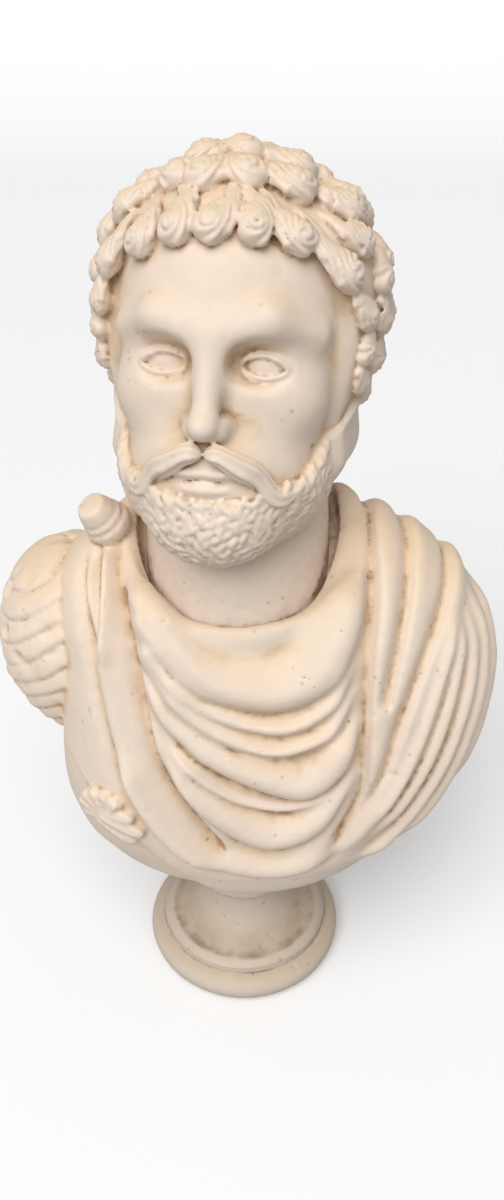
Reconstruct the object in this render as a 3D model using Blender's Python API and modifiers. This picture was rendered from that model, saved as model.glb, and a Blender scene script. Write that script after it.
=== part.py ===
"""A life-size marble bust of a bearded man in a draped cloak, standing on a turned socle.

Metres, +Z up. The origin is the middle of the socle's underside, the face looks along -Y, and +X is
the viewer's right. The bust and the socle are two castings: the bust stands on the socle's top by its
own weight. The bust is a free form, so its pose and carving are shares of its own height: every number
of its figure is in parts, and 65 parts make the height, which is a centimetre each at the real size.
"""

import math

import bmesh
import bpy
import numpy as np
from mathutils import Matrix, Vector

# Driving sizes, in metres.
BUST_HEIGHT = 0.65
SEAT_GAP = 0.0003
SOCLE_HEIGHT = 0.13
FOOT_RADIUS = 0.100
FOOT_ROLL_RADIUS = 0.0145
FILLET_RADIUS = 0.0855
FILLET_STEP = 0.008
WAIST_RADIUS = 0.041
RING_RADIUS = 0.050
RING_ROLL_RADIUS = 0.0065
RING_LEVEL = 0.099
DRUM_RADIUS = 0.043

# How finely the head's and the body's surfaces are worked, in metres, and the share of faces kept.
HEAD_GRAIN = 0.0030
HEAD_FACES_KEPT = 0.060
BODY_GRAIN = 0.0040
BODY_FACES_KEPT = 0.0365

PARTS_IN_HEIGHT = 65.0

# The body's level sections from the seat up: level, reach to the left, to the right, to the front and
# to the back, and how square the section is, where 2 is an ellipse.
BODY_SECTIONS = np.array(
    [
        (-1.0, 4.2, 4.2, 4.2, 4.2, 2.0),
        (1.2, 4.4, 4.4, 4.5, 4.3, 2.0),
        (2.2, 7.6, 7.2, 7.8, 5.5, 2.0),
        (4.0, 12.0, 11.2, 10.5, 6.8, 2.1),
        (7.0, 15.2, 14.8, 11.9, 8.2, 2.2),
        (11.0, 16.8, 18.0, 12.5, 9.2, 2.3),
        (16.0, 17.0, 20.2, 12.7, 9.9, 2.4),
        (21.0, 16.3, 21.3, 12.4, 10.3, 2.4),
        (26.0, 16.0, 21.3, 11.4, 10.2, 2.4),
        (31.0, 15.6, 19.4, 10.1, 8.9, 2.3),
        (34.0, 14.4, 17.2, 8.3, 6.9, 2.2),
        (36.4, 12.0, 14.0, 5.6, 5.0, 2.1),
        (38.0, 9.4, 10.4, 2.6, 4.0, 2.0),
        (39.2, 6.4, 7.0, 0.3, 3.4, 2.0),
        (40.4, 2.5, 3.0, -1.3, 2.6, 2.0),
    ]
)
BODY_HEART = (0.5, -0.8, 20.0)

# The neck leans back a little inside the collar.
NECK_FOOT = (-0.4, -1.3, 30.0)
NECK_HEAD = (-0.2, 0.8, 46.0)
NECK_FOOT_RADIUS = 7.8
NECK_HEAD_RADIUS = 6.7

# The collar: how far it clears the neck's axis, how deep the gap behind it is, its level at the front, how
# far it climbs to the sides, and how steeply the cloth rises away from it.
COLLAR_RADIUS = 8.2
COLLAR_DEPTH = 1.4
COLLAR_LEVEL = 31.8
COLLAR_CLIMB = 4.6
COLLAR_SLOPE = 0.5

CLASP_PLACE = (-10.8, -2.3, 37.7)

# The head leans back, and is turned about the neck towards the viewer's left.
HEAD_TURN = math.radians(-11.0)
HEAD_LEAN = math.radians(8.0)
HEAD_PIVOT = np.array((0.0, 0.0, 50.0))
HEAD_SHIFT = np.array((-0.2, -0.4, -0.9))
HEAD_SCALE = 1.05
SKULL_CENTRE = (0.0, 0.8, 54.6)
SKULL_REACH = (8.5, 9.7, 8.9)
FACE_CENTRE = (0.0, -1.2, 50.0)
FACE_REACH = (7.2, 8.0, 9.8)
BEARD_CENTRE = (0.0, -3.4, 44.6)
BEARD_REACH = (6.9, 6.9, 5.9)
EYE_CENTRE = (3.2, -6.5, 51.7)
EYE_REACH = (1.85, 1.55, 1.40)
HAIR_LIFT = 0.2
SIDE_HAIR = 0.75


def metres(points):
    """Points in parts above the seat, as metres above the floor."""
    seat = np.array((0.0, 0.0, SOCLE_HEIGHT + SEAT_GAP))
    return np.asarray(points, float) * (BUST_HEIGHT / PARTS_IN_HEIGHT) + seat


def smooth_step(low, high, value):
    """0 below low, 1 above high, and an S between."""
    t = np.clip((value - low) / (high - low), 0.0, 1.0)
    return t * t * (3.0 - 2.0 * t)


def smooth_lowest(a, b, width):
    """The lower of two distances, blended over a width, which joins two forms with a fillet."""
    h = np.clip(0.5 + 0.5 * (b - a) / width, 0.0, 1.0)
    return b * (1.0 - h) + a * h - width * h * (1.0 - h)


def through(table, values):
    """A table's columns at these values of its first one, along a curve with no corners."""
    keys = table[:, 0]
    slopes = np.gradient(table[:, 1:], keys, axis=0)
    values = np.clip(values, keys[0], keys[-1])
    i = np.clip(np.searchsorted(keys, values, side="right") - 1, 0, len(keys) - 2)
    gap = keys[i + 1] - keys[i]
    t = ((values - keys[i]) / gap)[..., None]
    gap = gap[..., None]
    a, b = table[i, 1:], table[i + 1, 1:]
    return (
        a * (1 + 2 * t) * (1 - t) ** 2
        + b * t * t * (3 - 2 * t)
        + slopes[i] * gap * t * (1 - t) ** 2
        - slopes[i + 1] * gap * t * t * (1 - t)
    )


def curve_through(knots, count):
    """Points of a Catmull-Rom curve through the knots."""
    knots = np.asarray(knots, float)
    padded = np.vstack([2 * knots[0] - knots[1], knots, 2 * knots[-1] - knots[-2]])
    t = np.linspace(0, len(knots) - 1, count)
    i = np.minimum(t.astype(int), len(knots) - 2)
    u = (t - i)[:, None]
    p0, p1, p2, p3 = (padded[i + k] for k in range(4))
    return 0.5 * (
        2 * p1 + (p2 - p0) * u + (2 * p0 - 5 * p1 + 4 * p2 - p3) * u**2 + (3 * p1 - p0 - 3 * p2 + p3) * u**3
    )


def ellipsoid(points, centre, reach):
    """A near enough distance to an ellipsoid."""
    q = (points - np.array(centre)) / np.array(reach)
    k = np.sqrt((q**2).sum(-1))
    return (k - 1.0) * k / np.maximum(np.sqrt(((q / np.array(reach)) ** 2).sum(-1)), 1e-6)


def capsule(points, start, end, radius, end_radius):
    """The distance to a round bar from start to end."""
    start, end = np.array(start, float), np.array(end, float)
    along = end - start
    t = np.clip((points - start) @ along / (along @ along), 0.0, 1.0)
    nearest = start + t[..., None] * along
    return np.linalg.norm(points - nearest, axis=-1) - (radius + (end_radius - radius) * t)


def from_neck(points):
    """How far points are from the neck's leaning axis, and how far to its right and behind it."""
    x, y, z = np.moveaxis(points, -1, 0)
    t = (z - NECK_FOOT[2]) / (NECK_HEAD[2] - NECK_FOOT[2])
    across = x - NECK_FOOT[0] - t * (NECK_HEAD[0] - NECK_FOOT[0])
    behind = y - NECK_FOOT[1] - t * (NECK_HEAD[1] - NECK_FOOT[1])
    return np.hypot(across, behind), across, behind


def body_form(points):
    """How far a point is outside the clothed body: its level sections, less the opening round the neck."""
    left, right, front, back, square = np.moveaxis(through(BODY_SECTIONS, points[..., 2]), -1, 0)
    middle, deep = (back - front) / 2, (back + front) / 2
    wide = np.where(points[..., 0] < 0, left, right)
    q = np.abs(points[..., 0] / wide) ** square + np.abs((points[..., 1] - middle) / deep) ** square
    top, bottom = BODY_SECTIONS[-1, 0], BODY_SECTIONS[0, 0]
    ends = np.maximum(points[..., 2] - top, bottom - points[..., 2])
    body = np.maximum((q ** (1 / square) - 1.0) * np.minimum(wide, deep), ends)
    radius, across, behind = from_neck(points)
    sine = np.where(behind > 0, 1.0, np.abs(across) / np.maximum(radius, 0.1))
    floor = COLLAR_LEVEL + COLLAR_CLIMB * sine**6 + COLLAR_SLOPE * np.maximum(radius - NECK_FOOT_RADIUS, 0.0)
    floor = floor + 3.0 * smooth_step(-1.0, 4.0, behind)
    return hollowed(body, 0.85 * (floor - points[..., 2]), 0.5)


def hollowed(form, tool, width):
    """The form with the tool taken out of it, the edge rounded over a width."""
    return -smooth_lowest(-form, tool, width)


def head_form(points):
    """How far a point is outside the bare head, in its own frame: skull, jaw, beard, brow, eyes and nose."""
    mirrored = np.array(points)
    mirrored[..., 0] = np.abs(points[..., 0])
    face = ellipsoid(points, FACE_CENTRE, FACE_REACH)
    form = smooth_lowest(ellipsoid(points, SKULL_CENTRE, SKULL_REACH), face, 2.0)
    form = smooth_lowest(form, capsule(mirrored, (5.6, 0.6, 45.8), (2.0, -6.8, 42.2), 1.5, 1.5), 2.0)
    form = smooth_lowest(form, ellipsoid(points, BEARD_CENTRE, BEARD_REACH), 1.0)
    form = smooth_lowest(form, ellipsoid(mirrored, (4.3, -6.0, 49.4), (2.4, 1.9, 2.0)), 2.4)
    form = smooth_lowest(form, ellipsoid(points, (0.0, -7.9, 45.2), (3.4, 2.0, 2.6)), 1.4)
    form = smooth_lowest(form, capsule(mirrored, (0.9, -8.7, 53.8), (3.5, -8.2, 54.6), 0.60, 0.55), 1.7)
    form = smooth_lowest(form, capsule(mirrored, (3.5, -8.2, 54.6), (6.2, -6.0, 53.6), 0.55, 0.40), 1.7)
    form = hollowed(form, ellipsoid(mirrored, (3.35, -9.8, 51.95), (2.55, 2.40, 1.60)), 0.6)
    form = smooth_lowest(form, ellipsoid(mirrored, EYE_CENTRE, EYE_REACH), 0.1)
    form = smooth_lowest(form, capsule(points, (0.0, -8.8, 53.8), (0.0, -10.25, 48.7), 0.60, 0.88), 1.2)
    form = smooth_lowest(form, ellipsoid(points, (0.0, -10.75, 48.4), (0.85, 0.92, 0.80)), 0.8)
    form = smooth_lowest(form, ellipsoid(mirrored, (0.95, -9.55, 48.05), (0.60, 1.05, 0.78)), 0.45)
    form = hollowed(form, ellipsoid(mirrored, (0.55, -10.6, 47.3), (0.28, 0.50, 0.24)), 0.1)
    form = smooth_lowest(form, ellipsoid(points, (0.0, -7.6, 41.6), (3.4, 2.6, 2.6)), 1.6)
    form = hollowed(form, ellipsoid(points, (0.0, -10.9, 43.1), (1.9, 0.7, 0.6)), 0.6)
    form = smooth_lowest(form, ellipsoid(mirrored, (0.80, -9.85, 45.40), (1.75, 0.85, 0.46)), 0.15)
    return smooth_lowest(form, ellipsoid(points, (0.0, -9.80, 44.38), (1.95, 1.00, 0.56)), 0.15)


def side_hair(across):
    """How much thicker the hair is at this distance across the head than on top."""
    return SIDE_HAIR * smooth_step(4.0, 8.0, np.abs(across))


def head_axes():
    """The turn and lean of the head as one matrix, whose rows are the head's own axes."""
    turn = Matrix.Rotation(HEAD_TURN, 3, "Z") @ Matrix.Rotation(-HEAD_LEAN, 3, "X")
    return np.array(turn).T


def from_head(points):
    """Points of the head's own frame, set on the neck."""
    return HEAD_SCALE * (np.asarray(points, float) - HEAD_PIVOT) @ head_axes() + HEAD_PIVOT + HEAD_SHIFT


def to_head(points):
    """Points of the figure, in the head's own frame."""
    return (points - HEAD_PIVOT - HEAD_SHIFT) @ head_axes().T / HEAD_SCALE + HEAD_PIVOT


def head_and_neck(points):
    """How far a point is outside the head on its neck."""
    neck = capsule(points, NECK_FOOT, NECK_HEAD, NECK_FOOT_RADIUS, NECK_HEAD_RADIUS)
    return smooth_lowest(HEAD_SCALE * head_form(to_head(points)), neck, 1.2)


def reach_along(form, heart, directions, furthest):
    """How far along each direction the form's surface is from its heart, by halving."""
    low = np.zeros(len(directions))
    high = np.full(len(directions), float(furthest))
    for _ in range(26):
        middle = (low + high) / 2
        inside = form(np.array(heart) + middle[:, None] * directions) < 0
        low = np.where(inside, middle, low)
        high = np.where(inside, high, middle)
    return (low + high) / 2


def outward(form, points):
    """The unit direction in which the form's distance grows fastest, at each point."""
    step = 0.05
    slope = np.stack(
        [form(points + step * axis) - form(points - step * axis) for axis in np.eye(3)], axis=-1
    )
    return slope / np.maximum(np.linalg.norm(slope, axis=-1, keepdims=True), 1e-9)


def onto(form, points):
    """The points moved onto the form's surface."""
    points = np.array(points, float)
    for _ in range(6):
        points = points - form(points)[:, None] * outward(form, points)
    return points


# Folds of the cloak. Each is a crease with a roll of cloth on its left-hand side, walking from its first
# knot to its last with the body's inside below one's feet: knots, how deep and how wide the crease is, how
# high and how wide the roll is, and over what share of its length it fades in and out. Swags come first, then
# the long falls on either side of them, the fan to the far shoulder, and the plainer back.
FOLDS = [
    ([(-6.4, -8, 31.6), (-2.6, -9, 29.6), (2.8, -9, 29.4), (6.6, -8, 31.6)], 0.0, 0.3, -0.5, 0.9, 0.35),
    (
        [(-9.2, -5, 35.2), (-8.2, -8.5, 32.6), (-6.4, -10, 29.9), (-2.9, -11.2, 26.8), (2.3, -11.6, 25.5)]
        + [(6.6, -11, 27.0), (9.2, -9, 30.8), (10.1, -5, 35.4)],
        0.60, 0.50, 1.20, 1.75, 0.10,
    ),
    (
        [(-8.9, -8, 32.6), (-8.0, -9.3, 30.9), (-5.7, -10.7, 27.6), (-1.6, -11.7, 24.6), (3.4, -12, 23.5)]
        + [(7.3, -11.2, 25.5), (9.5, -9.4, 29.8)],
        0.50, 0.42, 0.70, 0.85, 0.10,
    ),
    (
        [(-8.4, -9.4, 30.6), (-7.6, -10, 28.9), (-4.7, -11.3, 25.2), (-0.5, -12.2, 22.5), (3.5, -12.3, 21.6)]
        + [(7.4, -11.6, 23.4), (9.6, -10.2, 27.4)],
        0.50, 0.42, 0.65, 0.80, 0.10,
    ),
    (
        [(-8.0, -10, 28.6), (-5.9, -11.5, 23.8), (-2.0, -12.5, 20.2), (2.4, -12.6, 17.9), (5.4, -12.5, 17.5)]
        + [(8.6, -12, 20.0), (9.9, -11, 24.2)],
        0.70, 0.44, 0.95, 1.50, 0.10,
    ),
    (
        [(-6.4, -11.6, 22.8), (-2.7, -12.5, 18.8), (0.6, -12.7, 16.6)]
        + [(4.3, -12.6, 16.1), (8.0, -12.2, 18.0)],
        0.45, 0.38, 0.35, 0.50, 0.18,
    ),
    (
        [(-6.6, -11.6, 22.6), (-5.2, -12.3, 18.6), (-2.1, -12.6, 14.5), (0.6, -12.6, 12.3), (3.6, -12.4, 11.9)]
        + [(7.0, -12.2, 14.0), (9.6, -11.8, 19.4)],
        0.70, 0.46, 1.00, 1.50, 0.12,
    ),
    ([(-8.2, -9.4, 29.0), (-6.4, -11.6, 23.4), (-4.6, -12.4, 19.4)], 0.30, 0.34, 0.35, 0.6, 0.3),
    (
        [(-9.6, -2.8, 36.6), (-9.0, -7.2, 33.4), (-8.2, -9.6, 29.4), (-7.6, -10.9, 24.6), (-6.3, -12, 19.8)]
        + [(-3.8, -12.6, 15.3), (-0.8, -12.4, 11.0)],
        1.05, 0.28, 0.60, 0.80, 0.10,
    ),
    ([(-11.1, -3.3, 36.0), (-10.9, -6.6, 33.0), (-11.0, -9, 28.0)], 1.05, 0.26, 0.50, 0.65, 0.18),
    (
        [(-12.4, -2.7, 35.8), (-12.1, -7.1, 31.4), (-11.6, -8.8, 27.7), (-10.8, -10.3, 22.8)]
        + [(-9.1, -11.5, 17.6), (-6.4, -12.1, 12.8), (-2.4, -12.2, 8.6)],
        0.95, 0.30, 0.70, 1.0, 0.10,
    ),
    (
        [(-10.8, -10, 21.6), (-9.6, -11, 17.0), (-5.4, -12, 11.0), (0.0, -11.6, 8.4)]
        + [(5.0, -11.4, 8.4), (9.0, -10.8, 11.0)],
        0.55, 0.50, 0.95, 1.4, 0.16,
    ),
    (
        [(10.2, 5, 37.4), (10.3, -2.4, 36.8), (9.9, -8.6, 30.5), (10.0, -11.6, 23.0)]
        + [(9.8, -11.9, 16.5), (7.4, -11.5, 10.0)],
        0.95, 0.26, 0.25, 1.0, 0.10,
    ),
    (
        [(13.4, 4, 36.4), (13.5, -1, 36.6), (12.5, -6.1, 32.4), (11.7, -9.8, 27.0), (11.5, -10.6, 24.6)],
        0.75, 0.26, 0.20, 0.9, 0.15,
    ),
    (
        [(17.0, 4, 34.0), (16.8, -2, 34.0), (15.0, -7, 30.0), (13.0, -10.4, 24.0)]
        + [(11.6, -11.6, 18.6), (7.6, -11.5, 9.4)],
        0.75, 0.28, 0.35, 1.0, 0.10,
    ),
    ([(16.0, -5.4, 31.6), (15.0, -8.6, 26.6), (12.8, -11, 19.4), (9.8, -11.6, 13.2)], 0.50, 0.30, 0.60, 0.8, 0.2),
    ([(16.8, -5.2, 31.2), (16.4, -8, 26.6), (14.4, -10.8, 18.6), (10.4, -11.2, 11.4)], 0.50, 0.30, 0.60, 0.8, 0.2),
    (
        [(16.9, -4.0, 32.4), (18.0, -7.0, 26.8), (16.6, -10, 18.8), (12.6, -10.6, 11.4), (9.4, -10.6, 8.6)],
        0.50, 0.32, 0.65, 0.9, 0.2,
    ),
    (
        [(17.2, -3.0, 33.0), (19.2, -5.8, 27.6), (18.8, -8.4, 21.0), (16.0, -9.4, 13.4), (12.0, -9.8, 8.8)],
        0.45, 0.32, 0.60, 1.0, 0.2,
    ),
    ([(18.0, -1.0, 32.6), (20.4, -3.6, 27.0), (20.4, -6.0, 19.6), (17.4, -7.6, 12.2)], 0.45, 0.32, 0.55, 1.0, 0.2),
    ([(9.5, 6.4, 36.0), (6.5, 9.6, 28.0), (2.0, 10.2, 18.0), (-2.0, 7.6, 7.0)], 0.45, 0.5, 0.6, 1.7, 0.25),
    ([(14.0, 6.0, 33.0), (11.6, 8.8, 25.0), (7.5, 9.9, 16.0), (3.5, 7.8, 7.5)], 0.45, 0.5, 0.6, 1.7, 0.25),
    ([(18.0, 4.0, 28.0), (16.0, 7.8, 21.0), (12.0, 8.6, 13.0)], 0.45, 0.5, 0.6, 1.7, 0.25),
    ([(1.0, 7.4, 36.5), (-2.0, 9.8, 28.0), (-6.5, 10.0, 18.0), (-8.5, 7.6, 9.0)], 0.45, 0.5, 0.6, 1.7, 0.25),
    ([(-6.0, 7.2, 35.0), (-8.5, 9.2, 27.0), (-11.6, 8.6, 18.0)], 0.45, 0.5, 0.6, 1.7, 0.25),
]
UNDERCUT_WIDTH = 0.80

# The cloak's lower hem, where it leaves the cuirass bare: level of the hem against the place across.
HEM = np.array(
    [(-16.5, 20.5), (-14.9, 18.4), (-12.3, 15.4), (-8.8, 11.0), (-4.2, 6.4), (-1.5, 4.6), (4.0, 1.0)]
)
HEM_STEP = 0.7
CLOAK_SIDE = -15.5


def fold_lift(points, normals, fold):
    """How far one fold lifts or sinks each point: a narrow crease, and a roll beside it."""
    knots, crease, crease_width, roll, width, fade = fold
    path = onto(body_form, curve_through(knots, 9 * len(knots)))
    starts, along = path[:-1], np.diff(path, axis=0)
    near = np.all((points > path.min(0) - 4) & (points < path.max(0) + 4), axis=1)
    lift = np.zeros(len(points))
    if not near.any():
        return lift
    p, n = points[near], normals[near]
    offset = p[:, None] - starts
    t = np.clip((offset * along).sum(-1) / (along**2).sum(-1), 0, 1)
    away = offset - t[..., None] * along
    nearest = (away**2).sum(-1).argmin(1)
    row = np.arange(len(p))
    t, away = t[row, nearest], away[row, nearest]
    side = np.cross(n, along[nearest] / np.linalg.norm(along[nearest], axis=1, keepdims=True))
    s = np.linalg.norm(away, axis=1) * np.where((away * side).sum(-1) < 0, -1.0, 1.0)
    share = (nearest + t) / len(along)
    strength = smooth_step(0, fade, share) * smooth_step(0, fade, 1 - share)
    spread = np.where(s > 0, crease_width, UNDERCUT_WIDTH)
    profile = roll * np.exp(-(((s - width) / width) ** 2)) - crease * np.exp(-((s / spread) ** 2))
    lift[near] = strength * profile
    return lift


def cloak_lift(points, normals):
    """How far the carving lifts or sinks each point of the body: folds, hem, side edge and collar."""
    lift = sum(fold_lift(points, normals, fold) for fold in FOLDS)
    lift = np.clip(lift, -1.3, 1.6)
    x, y, z = points.T
    front = smooth_step(4.0, 0.0, y)
    above_hem = smooth_step(-0.35, 0.35, z - np.interp(x, HEM[:, 0], HEM[:, 1]))
    inside_edge = smooth_step(CLOAK_SIDE - 0.3, CLOAK_SIDE + 0.3, x)
    covered = 1.0 - front * (1.0 - above_hem * inside_edge)
    lift = lift * covered - HEM_STEP * (1.0 - covered)
    radius = from_neck(points)[0]
    high = smooth_step(27.0, 29.0, z)
    rim = 0.30 * np.exp(-(((radius - COLLAR_RADIUS - 0.6) / 0.7) ** 2))
    inside_collar = smooth_step(COLLAR_RADIUS, COLLAR_RADIUS - 0.5, radius)
    return lift * (1 - high * inside_collar) + high * (rim - COLLAR_DEPTH * inside_collar)


def cast_surface(form, heart, across, around, furthest, lift=None):
    """A ball of vertices sent out from the heart to the form's surface, as a mesh, carved by lift."""
    ball = bmesh.new()
    bmesh.ops.create_uvsphere(ball, u_segments=around, v_segments=across, radius=1.0)
    directions = np.array([v.co for v in ball.verts])
    directions /= np.linalg.norm(directions, axis=1, keepdims=True)
    points = np.array(heart) + reach_along(form, heart, directions, furthest)[:, None] * directions
    if lift is not None:
        normals = outward(form, points)
        points = points + lift(points, normals)[:, None] * normals
    for vertex, point in zip(ball.verts, points):
        vertex.co = point
    return ball


def head_lift(points, normals):
    """A thin cap of hair over the skull, behind the hairline and above the nape, and a rough beard."""
    x, y, z = to_head(points).T
    hairline = 60.6 - 0.30 * np.maximum(np.abs(x) - 4.2, 0.0) ** 1.6
    front = smooth_step(-0.5, 0.5, z - hairline)
    rear = smooth_step(-5.0, -3.2, y) * smooth_step(43.0, 45.5, z)
    cheek_line = 44.6 + 0.75 * np.maximum(y + 7.5, 0.0)
    bearded = smooth_step(0.3, -0.3, z - cheek_line) * smooth_step(1.5, -0.5, y) * smooth_step(38.0, 40.0, z)
    knobs = 0.15 + 0.22 * np.sin(4.4 * x + 1.5 * z) * np.sin(4.0 * z - 1.2 * y) * np.sin(3.6 * y + 0.8)
    mouth = np.exp(-((x / 2.6) ** 4) - ((z - 44.7) / 1.0) ** 4)
    return (HAIR_LIFT + side_hair(x)) * np.maximum(front, rear) + bearded * (1 - mouth) * (0.40 + knobs)


# The locks over the face: where each one's root and its curled end lie, as an angle round the head from the
# face and a height angle, in degrees, then which way it curls and its size.
FRONT_LOCKS = [
    (-56, 38, -52, 17, 1, 0.95),
    (-46, 46, -34, 26, 1, 1.0),
    (-31, 52, -17, 31, 1, 1.0),
    (4, 53, -1, 32, 1, 1.0),
    (8, 52, 16, 32, 1, 1.0),
    (22, 50, 33, 29, -1, 1.03),
    (39, 41, 52, 16, -1, 1.05),
    (-62, 20, -56, 2, 1, 0.85),
    (-68, 8, -61, -9, -1, 0.80),
    (-68, -6, -64, -21, 1, 0.78),
    (-84, 44, -75, 27, 1, 1.0),
    (-90, 28, -80, 11, -1, 1.0),
    (-92, 12, -81, -4, 1, 0.95),
    (-92, -6, -82, -19, -1, 0.90),
    (-90, -20, -80, -32, 1, 0.80),
    (-66, 56, -66, 39, 1, 1.05),
    (-44, 76, -40, 56, -1, 1.05),
    (-24, 77, -14, 55, 1, 1.10),
    (6, 78, 12, 57, -1, 1.10),
    (22, 69, 42, 52, -1, 1.15),
    (-92, 64, -84, 50, -1, 1.05),
    (58, 56, 73, 41, -1, 1.05),
    (52, 40, 67, 27, -1, 0.95),
    (80, 28, 83, 13, 1, 0.98),
    (58, 14, 64, 0, -1, 0.85),
    (84, 12, 86, -4, -1, 0.92),
    (64, 0, 67, -14, 1, 0.80),
    (86, -8, 86, -20, 1, 0.88),
    (66, -14, 70, -27, -1, 0.76),
    (86, -24, 84, -34, -1, 0.82),
    (-120, 84, -46, 72, 1, 1.12),
    (60, 92, 4, 80, -1, 1.12),
    (110, 84, 66, 65, -1, 1.12),
    (105, 62, 96, 44, 1, 1.05),
]
# The rows behind: height angle, first and last angle round from the face, and how many.
REAR_ROWS = [
    (76, 150, 240, 2),
    (58, 110, 250, 5),
    (38, 104, 256, 7),
    (18, 101, 259, 8),
    (-2, 99, 261, 8),
    (-20, 100, 260, 8),
    (-36, 110, 250, 7),
]


def lock_sites():
    """Each lock's root and end angles, its hand and its size: those over the face, then the rows behind."""
    yield from FRONT_LOCKS
    for number, (height, first, last, count) in enumerate(REAR_ROWS):
        for i, angle in enumerate(np.linspace(first, last, count)):
            hand = 1 if (i + number) % 2 else -1
            yield angle + 6 * hand, height + 20, angle, height, hand, 1.0


def on_skull(around, height):
    """The point of the head's surface at these angles, in degrees, from the skull's middle."""
    around, height = math.radians(around), math.radians(height)
    direction = np.array(
        (math.sin(around) * math.cos(height), -math.cos(around) * math.cos(height), math.sin(height))
    )
    return np.array(SKULL_CENTRE) + reach_along(head_form, SKULL_CENTRE, direction[None], 20)[0] * direction


def lock_path(root_around, root_height, around, height, hand, size, sway):
    """One lock: it leaves its root, sways to one side, and swells to a round end past its curl's middle."""
    root, middle = on_skull(root_around, root_height), on_skull(around, height)
    normal = outward(head_form, middle[None])[0]
    down = middle - root
    down -= normal * (down @ normal)
    down /= np.linalg.norm(down)
    beside = np.cross(down, normal) * hand
    waist = (root + middle) / 2 - size * sway * beside
    neck = middle - size * (1.1 * down + 0.55 * beside)
    path = curve_through([root, waist, neck, middle + 0.15 * size * down, middle + 1.30 * size * down], 17)
    path = onto(head_form, path)
    share = np.linspace(0, 1, 17)
    radii = np.interp(share, (0, 0.10, 0.30, 0.52, 0.68, 0.76), (0.22, 0.48, 0.74, 0.96, 1.26, 1.34))
    t = np.clip((share - 0.70) / 0.30, 0, 1)
    radii = np.where(share > 0.70, 1.32 * np.sqrt(1 - 0.985 * t**2), radii)
    lift = np.interp(share, (0, 0.2, 0.6, 1), (0.20, 0.50, 0.62, 0.52)) - 0.42 * radii
    lift = size * lift + side_hair(path[:, 0])
    return path + lift[:, None] * outward(head_form, path), size * radii


def add_strand(curve, points, radii):
    """One tapered strand in a curve object: its points in parts, and its radius at each."""
    spline = curve.splines.new("POLY")
    spline.points.add(len(points) - 1)
    for knot, point, radius in zip(spline.points, metres(points), radii):
        knot.co = (*point, 1.0)
        knot.radius = radius


# Features drawn as strands on the viewer's right half of the face, mirrored for the other: knots, and the
# radius at the start, the middle and the end.
FACE_STRANDS = [
    # Moustache.
    (
        [(0.20, -10.65, 46.7), (1.30, -10.75, 46.6), (2.50, -10.35, 46.0), (3.40, -9.80, 45.1)]
        + [(4.10, -9.30, 44.2), (4.90, -8.75, 43.7), (5.80, -8.00, 44.1)],
        (0.45, 0.70, 0.28),
    ),
    # Upper and lower eyelid.
    (
        [(1.70, -7.41, 51.75), (2.45, -7.74, 52.32), (3.20, -7.77, 52.50)]
        + [(3.95, -7.74, 52.32), (4.70, -7.41, 51.75)],
        (0.14, 0.22, 0.14),
    ),
    (
        [(1.70, -7.41, 51.65), (2.45, -7.80, 51.20), (3.20, -7.88, 51.06)]
        + [(3.95, -7.80, 51.20), (4.70, -7.41, 51.65)],
        (0.12, 0.18, 0.12),
    ),
]


def face_paths():
    """The face's strands on both sides."""
    for knots, radii in FACE_STRANDS:
        for side in (-1, 1):
            points = curve_through(np.array(knots) * (side, 1, 1), 11)
            yield points, np.interp(np.linspace(0, 1, 11), (0, 0.5, 1), radii)


# The gathered sash end on the body at the viewer's lower left: its middle, and its folds as start, end and
# the radius at each, measured across and up the body from there: the fan, then the tongue drawn through it.
SASH_MIDDLE = (-11.4, -10.2, 14.3)
SASH_SCALE = 1.18
SASH_FOLDS = [
    ((0.5, 0.1), (1.15, 1.55), 0.50, 0.66),
    ((0.2, 0.1), (0.15, 1.95), 0.50, 0.66),
    ((0.0, 0.0), (-0.85, 1.85), 0.50, 0.66),
    ((-0.1, 0.0), (-1.70, 1.30), 0.50, 0.64),
    ((-0.1, -0.2), (-2.15, 0.40), 0.50, 0.60),
    ((0.0, -0.4), (-1.85, -0.55), 0.50, 0.55),
    ((0.2, 0.4), (2.30, 0.10), 0.60, 0.55),
    ((0.0, 0.0), (3.00, -1.20), 0.75, 0.62),
    ((-0.2, -0.5), (2.30, -2.20), 0.70, 0.58),
    ((-0.6, -0.7), (0.90, -1.90), 0.50, 0.42),
]


def sash_paths():
    """The sash end's folds, laid on the body."""
    middle = onto(body_form, np.array([SASH_MIDDLE]))[0]
    normal = outward(body_form, middle[None])[0]
    across = np.cross((0.0, 0.0, 1.0), normal)
    across = -across / np.linalg.norm(across) * np.sign(across[0]) * -1
    up = np.cross(normal, across) if np.cross(normal, across)[2] > 0 else np.cross(across, normal)
    for start, end, start_radius, end_radius in SASH_FOLDS:
        ends = SASH_SCALE * np.array((start, end)) @ np.array((across, up)) + middle
        points = onto(body_form, curve_through(ends, 5)) + 0.1 * normal
        yield points, np.linspace(start_radius, end_radius, 5)


def head_strands():
    """The swept carving of the head, its locks and features, as points and radii in parts."""
    sites = list(lock_sites())
    sways = np.random.default_rng(3).uniform(0.35, 0.75, len(sites))
    for site, sway in zip(sites, sways):
        points, radii = lock_path(*site, sway)
        yield from_head(points), radii * HEAD_SCALE
    for points, radii in face_paths():
        yield from_head(points), radii * HEAD_SCALE


def mesh_object(name, ball):
    """The bmesh as an object, its points taken from parts to metres."""
    mesh = bpy.data.meshes.new(name)
    ball.to_mesh(mesh)
    ball.free()
    points = np.empty(len(mesh.vertices) * 3, np.float32)
    mesh.vertices.foreach_get("co", points)
    mesh.vertices.foreach_set("co", metres(points.reshape(-1, 3)).astype(np.float32).ravel())
    return bpy.data.objects.new(name, mesh)


def body():
    """The neck's collar, the cloak and the bare cuirass below it."""
    return mesh_object("body", cast_surface(body_form, BODY_HEART, 150, 260, 34, cloak_lift))


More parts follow.
